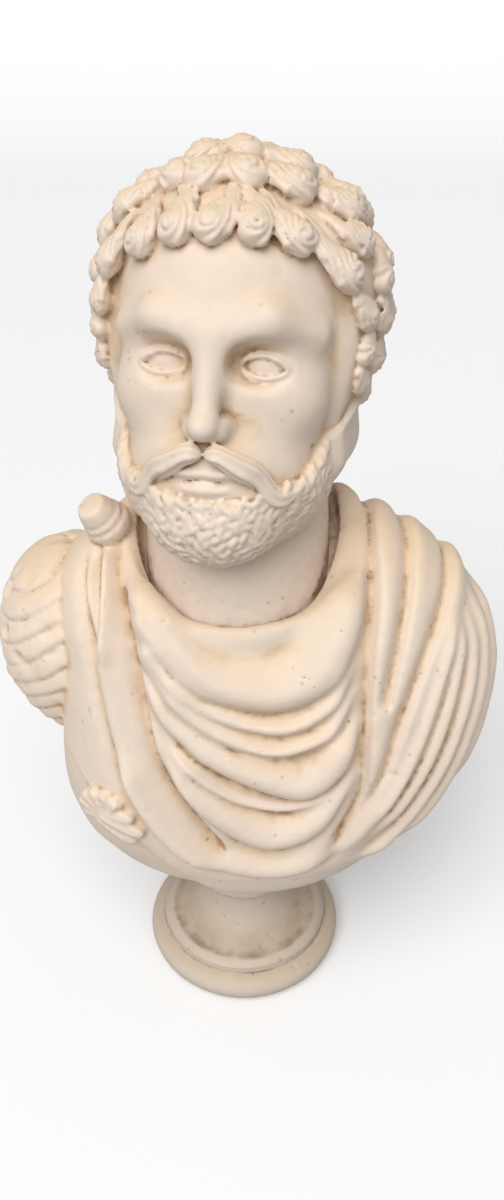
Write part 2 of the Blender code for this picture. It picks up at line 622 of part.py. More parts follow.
def head():
    """The bare head and neck, with the cap of hair and the beard."""
    return mesh_object("head", cast_surface(head_and_neck, HEAD_PIVOT, 130, 170, 26, head_lift))


def sleeve():
    """The upper arm in its pleated sleeve, cut off short, that shows behind the cloak's side."""
    centre, reach = (-14.5, 0.8, 24.9), (6.9, 7.4, 9.5)

    def form(points):
        arm = ellipsoid(points, centre, reach)
        cut = (points - np.array((-18.6, 0.0, 21.4))) @ np.array((-0.7, 0.0, -0.7))
        return hollowed(arm, -cut, 0.6)

    def pleats(points, normals):
        wave = 1.45 * points[:, 2] - 0.80 * (points[:, 0] + 15.5) - 0.25 * points[:, 1] + 0.8
        return 0.30 * np.abs(np.sin(wave)) - 0.25

    return mesh_object("sleeve", cast_surface(form, centre, 60, 80, 14, pleats))


def clasp():
    """The clasp on the shoulder: a knob with a cut cone for its head, over a double ring."""
    profile = [(0, 2.2), (1.05, 2.15), (1.25, 1.95), (1.52, 1.15), (1.4, 0.85), (1.74, 0.45)]
    profile += [(1.55, 0.15), (1.9, -0.2), (1.75, -1.0), (1.2, -1.6), (0, -1.6)]
    ball = bmesh.new()
    ring = [ball.verts.new((radius, 0, level)) for radius, level in profile]
    edges = [ball.edges.new(pair) for pair in zip(ring, ring[1:])]
    whole = 2 * math.pi
    bmesh.ops.spin(ball, geom=ring + edges, axis=(0, 0, 1), cent=(0, 0, 0), angle=whole, steps=24)
    bmesh.ops.remove_doubles(ball, verts=ball.verts, dist=1e-4)
    bmesh.ops.recalc_face_normals(ball, faces=ball.faces)
    lean = Matrix.Translation(CLASP_PLACE) @ Matrix.Rotation(math.radians(24), 4, "X")
    ball.transform(lean @ Matrix.Rotation(math.radians(-28), 4, "Y"))
    return mesh_object("clasp", ball)


def carving(collection, strands):
    """Swept strands as one mesh."""
    curve = bpy.data.curves.new("carving", "CURVE")
    curve.dimensions = "3D"
    curve.bevel_depth = BUST_HEIGHT / PARTS_IN_HEIGHT
    curve.bevel_resolution = 1
    curve.use_fill_caps = True
    for points, radii in strands:
        add_strand(curve, points, radii)
    drawn = bpy.data.objects.new("carving_lines", curve)
    collection.objects.link(drawn)
    bpy.context.view_layer.update()
    mesh = bpy.data.meshes.new_from_object(drawn.evaluated_get(bpy.context.evaluated_depsgraph_get()))
    bpy.data.objects.remove(drawn)
    solid = bmesh.new()
    solid.from_mesh(mesh)
    bmesh.ops.remove_doubles(solid, verts=solid.verts, dist=1e-5)
    solid.to_mesh(mesh)
    solid.free()
    return bpy.data.objects.new("carving", mesh)


def marble(name, colour, roughness):
    material = bpy.data.materials.new(name)
    material.use_nodes = True
    shader = material.node_tree.nodes["Principled BSDF"]
    shader.inputs["Base Color"].default_value = (*colour, 1.0)
    shader.inputs["Roughness"].default_value = roughness
    shader.inputs["Metallic"].default_value = 0.0
    return material


def one_mesh(name, pieces):
    """The pieces' meshes in one object, still as separate shells."""
    joined = bmesh.new()
    for piece in pieces:
        joined.from_mesh(piece.data)
        bpy.data.objects.remove(piece)
    mesh = bpy.data.meshes.new(name)
    joined.to_mesh(mesh)
    joined.free()
    return bpy.data.objects.new(name, mesh)


def seat_cutter():
    """Everything below the seat, to cut the bust's underside flat."""
    mesh = bpy.data.meshes.new("below_seat")
    block = bmesh.new()
    bmesh.ops.create_cube(block, size=BUST_HEIGHT)
    block.to_mesh(mesh)
    block.free()
    cutter = bpy.data.objects.new("below_seat", mesh)
    cutter.location = (0.0, 0.0, SOCLE_HEIGHT + SEAT_GAP - BUST_HEIGHT / 2)
    return cutter


def fuse(casting, grain, faces_kept):
    """Fuses the shells of a casting, softens the joins, and thins it to the faces its form needs."""
    fused = casting.modifiers.new("fuse", "REMESH")
    fused.mode = "VOXEL"
    fused.voxel_size = grain
    soften = casting.modifiers.new("soften", "SMOOTH")
    soften.factor = 0.4
    soften.iterations = 1
    thin = casting.modifiers.new("thin", "DECIMATE")
    thin.ratio = faces_kept
    thin.use_collapse_triangulate = True


def hidden(piece, collection):
    """Keeps a piece that only shapes another out of sight."""
    collection.objects.link(piece)
    piece.hide_render = True
    piece.display_type = "WIRE"


def combine(casting, name, operation, tool):
    cut = casting.modifiers.new(name, "BOOLEAN")
    cut.operation = operation
    cut.solver = "EXACT"
    cut.object = tool


def bust(collection, cutters):
    """The bust in one casting: body and head, each fused from its forms, joined, and cut flat below."""
    top = one_mesh("head_casting", [head(), carving(cutters, head_strands())])
    fuse(top, HEAD_GRAIN, HEAD_FACES_KEPT)
    hidden(top, cutters)
    below = seat_cutter()
    hidden(below, cutters)
    casting = one_mesh("bust", [body(), sleeve(), clasp(), carving(cutters, sash_paths())])
    collection.objects.link(casting)
    fuse(casting, BODY_GRAIN, BODY_FACES_KEPT)
    combine(casting, "set_head", "UNION", top)
    combine(casting, "flat_seat", "DIFFERENCE", below)
    casting.data.materials.append(marble("bust_marble", (0.83, 0.74, 0.62), 0.55))
    top.data.materials.append(casting.data.materials[0])


def roll_profile(centre_radius, centre_level, roll, first, last, steps):
    """Points of a round moulding, from one angle to another, measured from straight out."""
    for angle in np.linspace(math.radians(first), math.radians(last), steps):
        yield centre_radius + roll * math.cos(angle), centre_level + roll * math.sin(angle)


def socle_profile():
    """The socle's outline from the middle of its top, down its outside, to the middle of its underside."""
    foot_centre = FOOT_RADIUS - FOOT_ROLL_RADIUS
    foot_top = 2 * FOOT_ROLL_RADIUS
    fillet_top = foot_top + FILLET_STEP
    yield 0.0, SOCLE_HEIGHT
    yield DRUM_RADIUS, SOCLE_HEIGHT
    yield DRUM_RADIUS, RING_LEVEL + RING_ROLL_RADIUS
    yield from roll_profile(RING_RADIUS - RING_ROLL_RADIUS, RING_LEVEL, RING_ROLL_RADIUS, 80, -80, 6)
    throat_top = RING_LEVEL - RING_ROLL_RADIUS
    for t in np.linspace(0.0, 1.0, 9):
        radius = WAIST_RADIUS + (FILLET_RADIUS - WAIST_RADIUS) * (1 - math.sqrt(max(0.0, 1 - t**2.6)))
        yield radius, throat_top + (fillet_top - throat_top) * t
    yield FILLET_RADIUS, foot_top
    yield from roll_profile(foot_centre, FOOT_ROLL_RADIUS, FOOT_ROLL_RADIUS, 80, -90, 9)
    yield 0.0, 0.0


def socle(collection):
    """The socle, turned from its outline."""
    mesh = bpy.data.meshes.new("socle")
    points = [(radius, 0.0, level) for radius, level in socle_profile()]
    mesh.from_pydata(points, [(i, i + 1) for i in range(len(points) - 1)], [])
    foot = bpy.data.objects.new("socle", mesh)
    collection.objects.link(foot)
    turn = foot.modifiers.new("turn", "SCREW")
    turn.steps = turn.render_steps = 36
    turn.use_merge_vertices = True
    turn.merge_threshold = 0.0001
    mesh.materials.append(marble("socle_marble", (0.66, 0.58, 0.49), 0.6))


def main():
    for old in list(bpy.data.objects):
        bpy.data.objects.remove(old)
    parts = bpy.data.collections.new("marble_bust")
    cutters = bpy.data.collections.new("cutters")
    bpy.context.scene.collection.children.link(parts)
    bpy.context.scene.collection.children.link(cutters)
    bust(parts, cutters)
    socle(parts)


main()
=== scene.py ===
"""A cast marble bust on its turned socle: its carving, the stone's finish, the floor, light and camera.

The figure is worked in parts of its own height, 65 to the bust, from the middle of its seat; metres()
takes them to the frame. Its forms are the same as the solid's, drawn finer and with more carving.
"""

import math

import bpy
import numpy as np
from mathutils import Matrix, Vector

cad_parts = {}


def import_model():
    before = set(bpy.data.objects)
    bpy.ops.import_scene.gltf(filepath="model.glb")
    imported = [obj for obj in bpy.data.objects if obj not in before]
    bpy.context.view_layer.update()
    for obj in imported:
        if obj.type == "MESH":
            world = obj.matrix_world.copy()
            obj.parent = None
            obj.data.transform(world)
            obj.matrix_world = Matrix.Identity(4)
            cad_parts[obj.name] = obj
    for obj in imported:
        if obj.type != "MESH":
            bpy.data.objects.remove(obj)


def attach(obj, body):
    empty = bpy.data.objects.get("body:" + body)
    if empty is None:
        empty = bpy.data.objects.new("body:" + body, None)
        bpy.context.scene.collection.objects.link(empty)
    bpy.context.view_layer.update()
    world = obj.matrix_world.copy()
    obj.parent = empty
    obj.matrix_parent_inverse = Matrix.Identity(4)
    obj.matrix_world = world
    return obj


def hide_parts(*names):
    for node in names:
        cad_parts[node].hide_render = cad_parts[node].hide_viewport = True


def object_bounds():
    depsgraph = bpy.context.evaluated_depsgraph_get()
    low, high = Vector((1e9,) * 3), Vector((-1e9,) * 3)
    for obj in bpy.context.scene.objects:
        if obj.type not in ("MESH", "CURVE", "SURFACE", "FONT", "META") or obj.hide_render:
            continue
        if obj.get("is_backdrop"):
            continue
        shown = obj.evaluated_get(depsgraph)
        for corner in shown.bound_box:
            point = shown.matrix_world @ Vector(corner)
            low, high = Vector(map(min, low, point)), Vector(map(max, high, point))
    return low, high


# The socle, in metres.
SOCLE_HEIGHT = 0.13
SEAT_GAP = 0.0003
FOOT_RADIUS = 0.100
FOOT_ROLL_RADIUS = 0.0145
FILLET_RADIUS = 0.0855
FILLET_STEP = 0.008
WAIST_RADIUS = 0.041
RING_RADIUS = 0.050
RING_ROLL_RADIUS = 0.0065
RING_LEVEL = 0.099
DRUM_RADIUS = 0.043

# A part of the bust's height, and how finely its castings are worked, in metres and in triangles.
PART = 0.65 / 65.0
HEAD_GRAIN = 0.0011
HEAD_FACES = 190000
BODY_GRAIN = 0.0019
BODY_FACES = 188000

# The body's level sections from the seat up: level, reach to the left, to the right, to the front and to
# the back, and how square the section is, where 2 is an ellipse.
BODY_SECTIONS = np.array([
    (-1.0, 4.2, 4.2, 4.2, 4.2, 2.0),
    (1.2, 4.4, 4.4, 4.5, 4.3, 2.0),
    (2.2, 7.6, 7.2, 7.8, 5.5, 2.0),
    (4.0, 12.0, 11.2, 10.5, 6.8, 2.1),
    (7.0, 15.2, 14.8, 11.9, 8.2, 2.2),
    (11.0, 16.8, 18.0, 12.5, 9.2, 2.3),
    (16.0, 17.0, 20.2, 12.7, 9.9, 2.4),
    (21.0, 16.3, 21.3, 12.4, 10.3, 2.4),
    (26.0, 16.0, 21.3, 11.4, 10.2, 2.4),
    (31.0, 15.6, 19.4, 10.1, 8.9, 2.3),
    (34.0, 14.4, 17.2, 8.3, 6.9, 2.2),
    (36.4, 12.0, 14.0, 5.6, 5.0, 2.1),
    (38.0, 9.4, 10.4, 2.6, 4.0, 2.0),
    (39.2, 6.4, 7.0, 0.3, 3.4, 2.0),
    (40.4, 2.5, 3.0, -1.3, 2.6, 2.0),
])
BODY_HEART = (0.5, -0.8, 20.0)

NECK_FOOT = (-0.4, -1.3, 30.0)
NECK_HEAD = (-0.2, 0.8, 46.0)
NECK_FOOT_RADIUS = 7.8
NECK_HEAD_RADIUS = 6.7
COLLAR_RADIUS = 8.2
COLLAR_DEPTH = 1.4
COLLAR_LEVEL = 31.8
COLLAR_CLIMB = 4.6
COLLAR_SLOPE = 0.5

HEAD_TURN = math.radians(-11.0)
HEAD_LEAN = math.radians(8.0)
HEAD_PIVOT = np.array((0.0, 0.0, 50.0))
HEAD_SHIFT = np.array((-0.2, -0.4, -0.9))
HEAD_SCALE = 1.05
SKULL_CENTRE = (0.0, 0.8, 54.6)
SKULL_REACH = (8.5, 9.7, 8.9)
FACE_CENTRE = (0.0, -1.2, 50.0)
FACE_REACH = (7.2, 8.0, 9.8)
BEARD_CENTRE = (0.0, -3.4, 44.6)
BEARD_REACH = (6.9, 6.9, 5.9)
EYE_CENTRE = np.array((3.2, -6.5, 51.7))
EYE_REACH = np.array((1.85, 1.55, 1.40))
EYE_HALF_WIDTH = 1.48
UPPER_LID_ARCH = 0.66
LOWER_LID_ARCH = 0.50
HAIR_LIFT = 0.2
SIDE_HAIR = 0.75


SEAT = np.array((0.0, 0.0, SOCLE_HEIGHT + SEAT_GAP))


def metres(points):
    """Points in parts above the seat, as metres above the floor."""
    return np.asarray(points, float) * PART + SEAT


def in_parts(points):
    """The inverse of metres."""
    return (points - SEAT) / PART


# Smooth functions of whole arrays.


def smooth_step(low, high, value):
    """t * t * (3 - 2 t), where t runs from 0 at low to 1 at high."""
    t = np.clip((value - low) / (high - low), 0.0, 1.0)
    return t * t * (3.0 - 2.0 * t)


def smooth_lowest(a, b, width):
    """The lower of two distances, less a parabola of that width where they cross, which makes a fillet."""
    h = np.clip(0.5 + 0.5 * (b - a) / width, 0.0, 1.0)
    return b * (1.0 - h) + a * h - width * h * (1.0 - h)


def hollowed(form, tool, width):
    """The form with the tool taken out of it, the edge rounded over a width."""
    return -smooth_lowest(-form, tool, width)


def unit(vectors):
    """Each vector over its own length."""
    return vectors / np.maximum(np.linalg.norm(vectors, axis=-1, keepdims=True), 1e-9)


def through(table, values):
    """A table's columns against its first one, as cubic Hermite curves through its rows."""
    keys = table[:, 0]
    slopes = np.gradient(table[:, 1:], keys, axis=0)
    values = np.clip(values, keys[0], keys[-1])
    i = np.clip(np.searchsorted(keys, values, side="right") - 1, 0, len(keys) - 2)
    gap = keys[i + 1] - keys[i]
    t = ((values - keys[i]) / gap)[..., None]
    gap = gap[..., None]
    a, b = table[i, 1:], table[i + 1, 1:]
    return (
        a * (1 + 2 * t) * (1 - t) ** 2
        + b * t * t * (3 - 2 * t)
        + slopes[i] * gap * t * (1 - t) ** 2
        - slopes[i + 1] * gap * t * t * (1 - t)
    )


def curve_through(knots, count):
    """Catmull-Rom curves through knots, along the last axis but one, sampled evenly between them."""
    knots = np.asarray(knots, float)
    first = 2 * knots[..., :1, :] - knots[..., 1:2, :]
    last = 2 * knots[..., -1:, :] - knots[..., -2:-1, :]
    padded = np.concatenate([first, knots, last], axis=-2)
    t = np.linspace(0, knots.shape[-2] - 1, count)
    i = np.minimum(t.astype(int), knots.shape[-2] - 2)
    u = (t - i)[:, None]
    p0, p1, p2, p3 = (padded[..., i + k, :] for k in range(4))
    return 0.5 * (
        2 * p1 + (p2 - p0) * u + (2 * p0 - 5 * p1 + 4 * p2 - p3) * u**2 + (3 * p1 - p0 - 3 * p2 + p3) * u**3
    )


def mottle(points, size, seed):
    """Value noise from 0 to 1: random values on a lattice of that size, blended between its corners."""
    q = points / size + seed * 17.3
    corner = np.floor(q)
    f = q - corner
    f = f * f * (3 - 2 * f)
    total = np.zeros(len(points))
    for step in np.ndindex(2, 2, 2):
        at = (corner + step) @ np.array((127.1, 311.7, 74.7))
        value = np.modf(np.abs(np.sin(at) * 43758.5453))[0]
        total += value * np.prod(np.where(step, f, 1 - f), axis=1)
    return total


# Forms as distances.


def ellipsoid(points, centre, reach):
    """(k - 1) k over the slope, where k is the point's radius with each axis divided by its reach."""
    q = (points - np.array(centre)) / np.array(reach)
    k = np.sqrt((q**2).sum(-1))
    return (k - 1.0) * k / np.maximum(np.sqrt(((q / np.array(reach)) ** 2).sum(-1)), 1e-6)


def capsule(points, start, end, radius, end_radius):
    """The distance to the nearest point of a line, less a radius that changes along it."""
    start, end = np.array(start, float), np.array(end, float)
    along = end - start
    t = np.clip((points - start) @ along / (along @ along), 0.0, 1.0)
    nearest = start + t[..., None] * along
    return np.linalg.norm(points - nearest, axis=-1) - (radius + (end_radius - radius) * t)


def from_neck(points):
    """How far points are from the neck's leaning axis, level by level, and how far up it they are."""
    x, y, z = np.moveaxis(points, -1, 0)
    t = (z - NECK_FOOT[2]) / (NECK_HEAD[2] - NECK_FOOT[2])
    across = x - NECK_FOOT[0] - t * (NECK_HEAD[0] - NECK_FOOT[0])
    behind = y - NECK_FOOT[1] - t * (NECK_HEAD[1] - NECK_FOOT[1])
    return np.hypot(across, behind), across, behind, t


def body_form(points):
    """A super-ellipse at each level, whose reaches and squareness come from the sections, with a bowl round
    the neck taken out of it: the bowl's floor climbs with the sixth power of the sine of the angle from the
    front, and with the distance from the neck."""
    left, right, front, back, square = np.moveaxis(through(BODY_SECTIONS, points[..., 2]), -1, 0)
    x, y, z = np.moveaxis(points, -1, 0)
    middle, deep = (back - front) / 2, (back + front) / 2
    wide = np.where(x < 0, left, right)
    q = np.abs(x / wide) ** square + np.abs((y - middle) / deep) ** square
    ends = np.maximum(z - BODY_SECTIONS[-1, 0], BODY_SECTIONS[0, 0] - z)
    body = np.maximum((q ** (1 / square) - 1.0) * np.minimum(wide, deep), ends)
    radius, across, behind, _ = from_neck(points)
    sine = np.where(behind > 0, 1.0, np.abs(across) / np.maximum(radius, 0.1))
    floor = COLLAR_LEVEL + COLLAR_CLIMB * sine**6 + COLLAR_SLOPE * np.maximum(radius - NECK_FOOT_RADIUS, 0.0)
    return hollowed(body, 0.85 * (floor + 3.0 * smooth_step(-1.0, 4.0, behind) - z), 0.5)


def eye_opening(points):
    """The almond between the lids, seen from the front: inside both of two circles, one for each arch, whose
    radius is (w w + h h) / 2 h for a half width w and a height h."""
    x = points[..., 0] - EYE_CENTRE[0]
    z = points[..., 2] - EYE_CENTRE[2] + 0.05 * x
    above = (EYE_HALF_WIDTH**2 + UPPER_LID_ARCH**2) / (2 * UPPER_LID_ARCH)
    below = (EYE_HALF_WIDTH**2 + LOWER_LID_ARCH**2) / (2 * LOWER_LID_ARCH)
    upper = np.hypot(x, z + above - UPPER_LID_ARCH) - above
    return np.maximum(upper, np.hypot(x, z - below + LOWER_LID_ARCH) - below)


def head_form(points):
    """Skull, jaw, beard, brow, eyes with their lids, nose and lips, each an ellipsoid or a capsule, joined
    with fillets or taken out, in this order."""
    mirrored = np.array(points)
    mirrored[..., 0] = np.abs(points[..., 0])
    opening = eye_opening(mirrored)
    lids = np.maximum(ellipsoid(mirrored, EYE_CENTRE, 1.14 * EYE_REACH), -opening)
    rim = np.maximum(np.abs(opening - 0.14) - 0.14, ellipsoid(mirrored, EYE_CENTRE, 1.23 * EYE_REACH))
    add, cut = smooth_lowest, hollowed
    steps = [
        (add, ellipsoid(points, FACE_CENTRE, FACE_REACH), 2.0),
        (add, capsule(mirrored, (5.6, 0.6, 45.8), (2.0, -6.8, 42.2), 1.5, 1.5), 2.0),  # jaw
        (add, ellipsoid(points, BEARD_CENTRE, BEARD_REACH), 1.0),
        (add, ellipsoid(mirrored, (4.3, -6.0, 49.4), (2.4, 1.9, 2.0)), 2.4),  # cheek
        (add, ellipsoid(points, (0.0, -7.9, 45.2), (3.4, 2.0, 2.6)), 1.4),  # mouth
        (add, capsule(mirrored, (0.9, -8.7, 53.8), (3.5, -8.2, 54.6), 0.60, 0.55), 1.7),  # inner brow
        (add, capsule(mirrored, (3.5, -8.2, 54.6), (6.2, -6.0, 53.6), 0.55, 0.40), 1.7),  # outer brow
        (cut, ellipsoid(mirrored, (3.35, -9.8, 51.95), (2.55, 2.40, 1.60)), 0.6),  # eye socket
        (add, ellipsoid(mirrored, EYE_CENTRE, EYE_REACH), 0.1),
        (add, lids, 0.15),
        (add, rim, 0.08),
        (add, capsule(points, (0.0, -8.8, 53.8), (0.0, -10.25, 48.7), 0.60, 0.88), 1.2),  # bridge
        (add, ellipsoid(points, (0.0, -10.75, 48.4), (0.85, 0.92, 0.80)), 0.8),  # tip of the nose
        (add, ellipsoid(mirrored, (0.95, -9.55, 48.05), (0.60, 1.05, 0.78)), 0.45),  # wing
        (cut, ellipsoid(mirrored, (0.55, -10.6, 47.3), (0.28, 0.50, 0.24)), 0.1),  # nostril
        (add, ellipsoid(points, (0.0, -7.6, 41.6), (3.4, 2.6, 2.6)), 1.6),  # chin
        (cut, ellipsoid(points, (0.0, -10.9, 43.1), (1.9, 0.7, 0.6)), 0.6),  # hollow under the lip
        (add, ellipsoid(mirrored, (0.80, -9.85, 45.40), (1.75, 0.85, 0.46)), 0.15),  # upper lip
        (add, ellipsoid(points, (0.0, -9.80, 44.38), (1.95, 1.00, 0.56)), 0.15),  # lower lip
        (cut, capsule(mirrored, (0.0, -10.60, 44.95), (2.5, -9.50, 44.80), 0.13, 0.10), 0.12),  # parting
    ]
    form = ellipsoid(points, SKULL_CENTRE, SKULL_REACH)
    for join, feature, width in steps:
        form = join(form, feature, width)
    return form


def side_hair(across):
    """How much thicker the hair is at this distance across the head: an S from the temples out."""
    return SIDE_HAIR * smooth_step(4.0, 8.0, np.abs(across))


def head_axes():
    """The turn and lean of the head as one matrix, whose rows are the head's own axes."""
    turn = Matrix.Rotation(HEAD_TURN, 3, "Z") @ Matrix.Rotation(-HEAD_LEAN, 3, "X")
    return np.array(turn).T


def from_head(points):
    """Points of the head's own frame, scaled, turned and set on the neck."""
    return HEAD_SCALE * (np.asarray(points, float) - HEAD_PIVOT) @ head_axes() + HEAD_PIVOT + HEAD_SHIFT


def outward(form, points):
    """The form's slope by central differences, made a unit vector."""
    step = 0.04
    slope = [form(points + step * axis) - form(points - step * axis) for axis in np.eye(3)]
    return unit(np.stack(slope, axis=-1))


def onto(form, points, rounds=5):
    """The points stepped along the slope by their distance, until they lie on the surface."""
    for _ in range(rounds):
        points = points - form(points)[..., None] * outward(form, points)
    return points


def flush(vectors, normals):
    """The vectors without what they have along the normals, as unit vectors."""
    return unit(vectors - normals * (vectors * normals).sum(1, keepdims=True))


def laid_on_head(paths, rounds):
    """Paths stepped onto the head's surface, and its normals along them."""
    points = onto(head_form, paths.reshape(-1, 3), rounds)
    return points.reshape(paths.shape), outward(head_form, points).reshape(paths.shape)


# Closed shells on a grid of two parameters.


def ball_directions(rows, columns):
    """Unit vectors on latitudes and meridians, with the two poles as the first and last row."""
    polar = np.linspace(0, math.pi, rows + 1)[1:-1, None]
    around = np.linspace(0, 2 * math.pi, columns, endpoint=False)[None]
    across, level = np.sin(polar), np.cos(polar)
    return np.stack([across * np.cos(around), across * np.sin(around), level + 0 * around], axis=-1)


def turned(outline, sides):
    """An outline of radii and levels turned about the upright axis: r cos(a), r sin(a), level."""
    radius, level = outline[:, :1], outline[:, 1:]
    a = np.linspace(0, 2 * math.pi, sides, endpoint=False)
    return np.stack([radius * np.cos(a), radius * np.sin(a), level + 0 * a], axis=-1)


def closed_shell(grid, first, last):
    """A grid closed round its columns, with a fan to a pole at each end: points, quads and triangles."""
    rows, columns = grid.shape[:2]
    points = np.vstack([grid.reshape(-1, 3), [first, last]])
    i, j = np.meshgrid(np.arange(rows - 1), np.arange(columns), indexing="ij")
    a, b = i * columns + j, i * columns + (j + 1) % columns
    quads = np.stack([a, a + columns, b + columns, b], axis=-1).reshape(-1, 4)
    j = np.arange(columns)
    k = (j + 1) % columns
    top = np.stack([np.full(columns, rows * columns), j, k], axis=-1)
    end = (rows - 1) * columns
    bottom = np.stack([np.full(columns, rows * columns + 1), end + k, end + j], axis=-1)
    return points, quads, np.vstack([top, bottom])


def cast_points(form, heart, rays, furthest):
    """Where rays from a heart meet the form's surface, found by halving."""
    low, high = np.zeros(len(rays)), np.full(len(rays), float(furthest))
    for _ in range(16):
        middle = (low + high) / 2
        inside = form(np.array(heart) + middle[:, None] * rays) < 0
        low, high = np.where(inside, middle, low), np.where(inside, high, middle)
    return np.array(heart) + ((low + high) / 2)[:, None] * rays


def cast_shell(form, heart, rows, columns, furthest, lift):
    """The form's surface on latitudes and meridians round a heart, moved along its slope by lift."""
    grid = ball_directions(rows, columns)
    points = cast_points(form, heart, np.vstack([grid.reshape(-1, 3), [(0, 0, 1), (0, 0, -1)]]), furthest)
    normals = outward(form, points)
    points = points + lift(points, normals)[:, None] * normals
    return closed_shell(points[:-2].reshape(*grid.shape), points[-2], points[-1])


def swept_shell(path, up, radii, flutes=0, depth=0.0, flat=1.0, sides=16):
    """A round profile carried along a path: side * cos(a) + up * flat * sin(a), times the radius, where
    the radius is fluted by 1 + depth * cos(flutes * a)."""
    tangent = unit(np.gradient(path, axis=0))
    side = unit(np.cross(tangent, up))
    up = np.cross(side, tangent)
    a = np.linspace(0, 2 * math.pi, sides, endpoint=False)
    ring = 1 + depth * np.cos(flutes * a)
    across, high = (ring * np.cos(a))[None, :, None], (ring * flat * np.sin(a))[None, :, None]
    grid = path[:, None] + radii[:, None, None] * (across * side[:, None] + high * up[:, None])
    ends = path[0] - 0.5 * radii[0] * tangent[0], path[-1] + 0.5 * radii[-1] * tangent[-1]
    return closed_shell(grid, *ends)


def joined(shells):
    """Several shells as one list of points, quads and triangles."""
    points, quads, triangles, start = [], [], [], 0
    for p, q, t in shells:
        points.append(p)
        quads.append(q + start)
        triangles.append(t + start)
        start += len(p)
    return np.vstack(points), np.vstack(quads), np.vstack(triangles)


def mesh_from(name, points, quads, triangles):
    """The arrays as a mesh, put in with foreach_set."""
    mesh = bpy.data.meshes.new(name)
    corners = np.concatenate([quads.ravel(), triangles.ravel()])
    sizes = np.concatenate([np.full(len(quads), 4), np.full(len(triangles), 3)])
    mesh.vertices.add(len(points))
    mesh.vertices.foreach_set("co", points.astype(np.float32).ravel())
    mesh.loops.add(len(corners))
    mesh.loops.foreach_set("vertex_index", corners.astype(np.int32))
    mesh.polygons.add(len(sizes))
    mesh.polygons.foreach_set("loop_start", (np.cumsum(sizes) - sizes).astype(np.int32))
    mesh.update(calc_edges=True)
    return mesh


# The cloak.

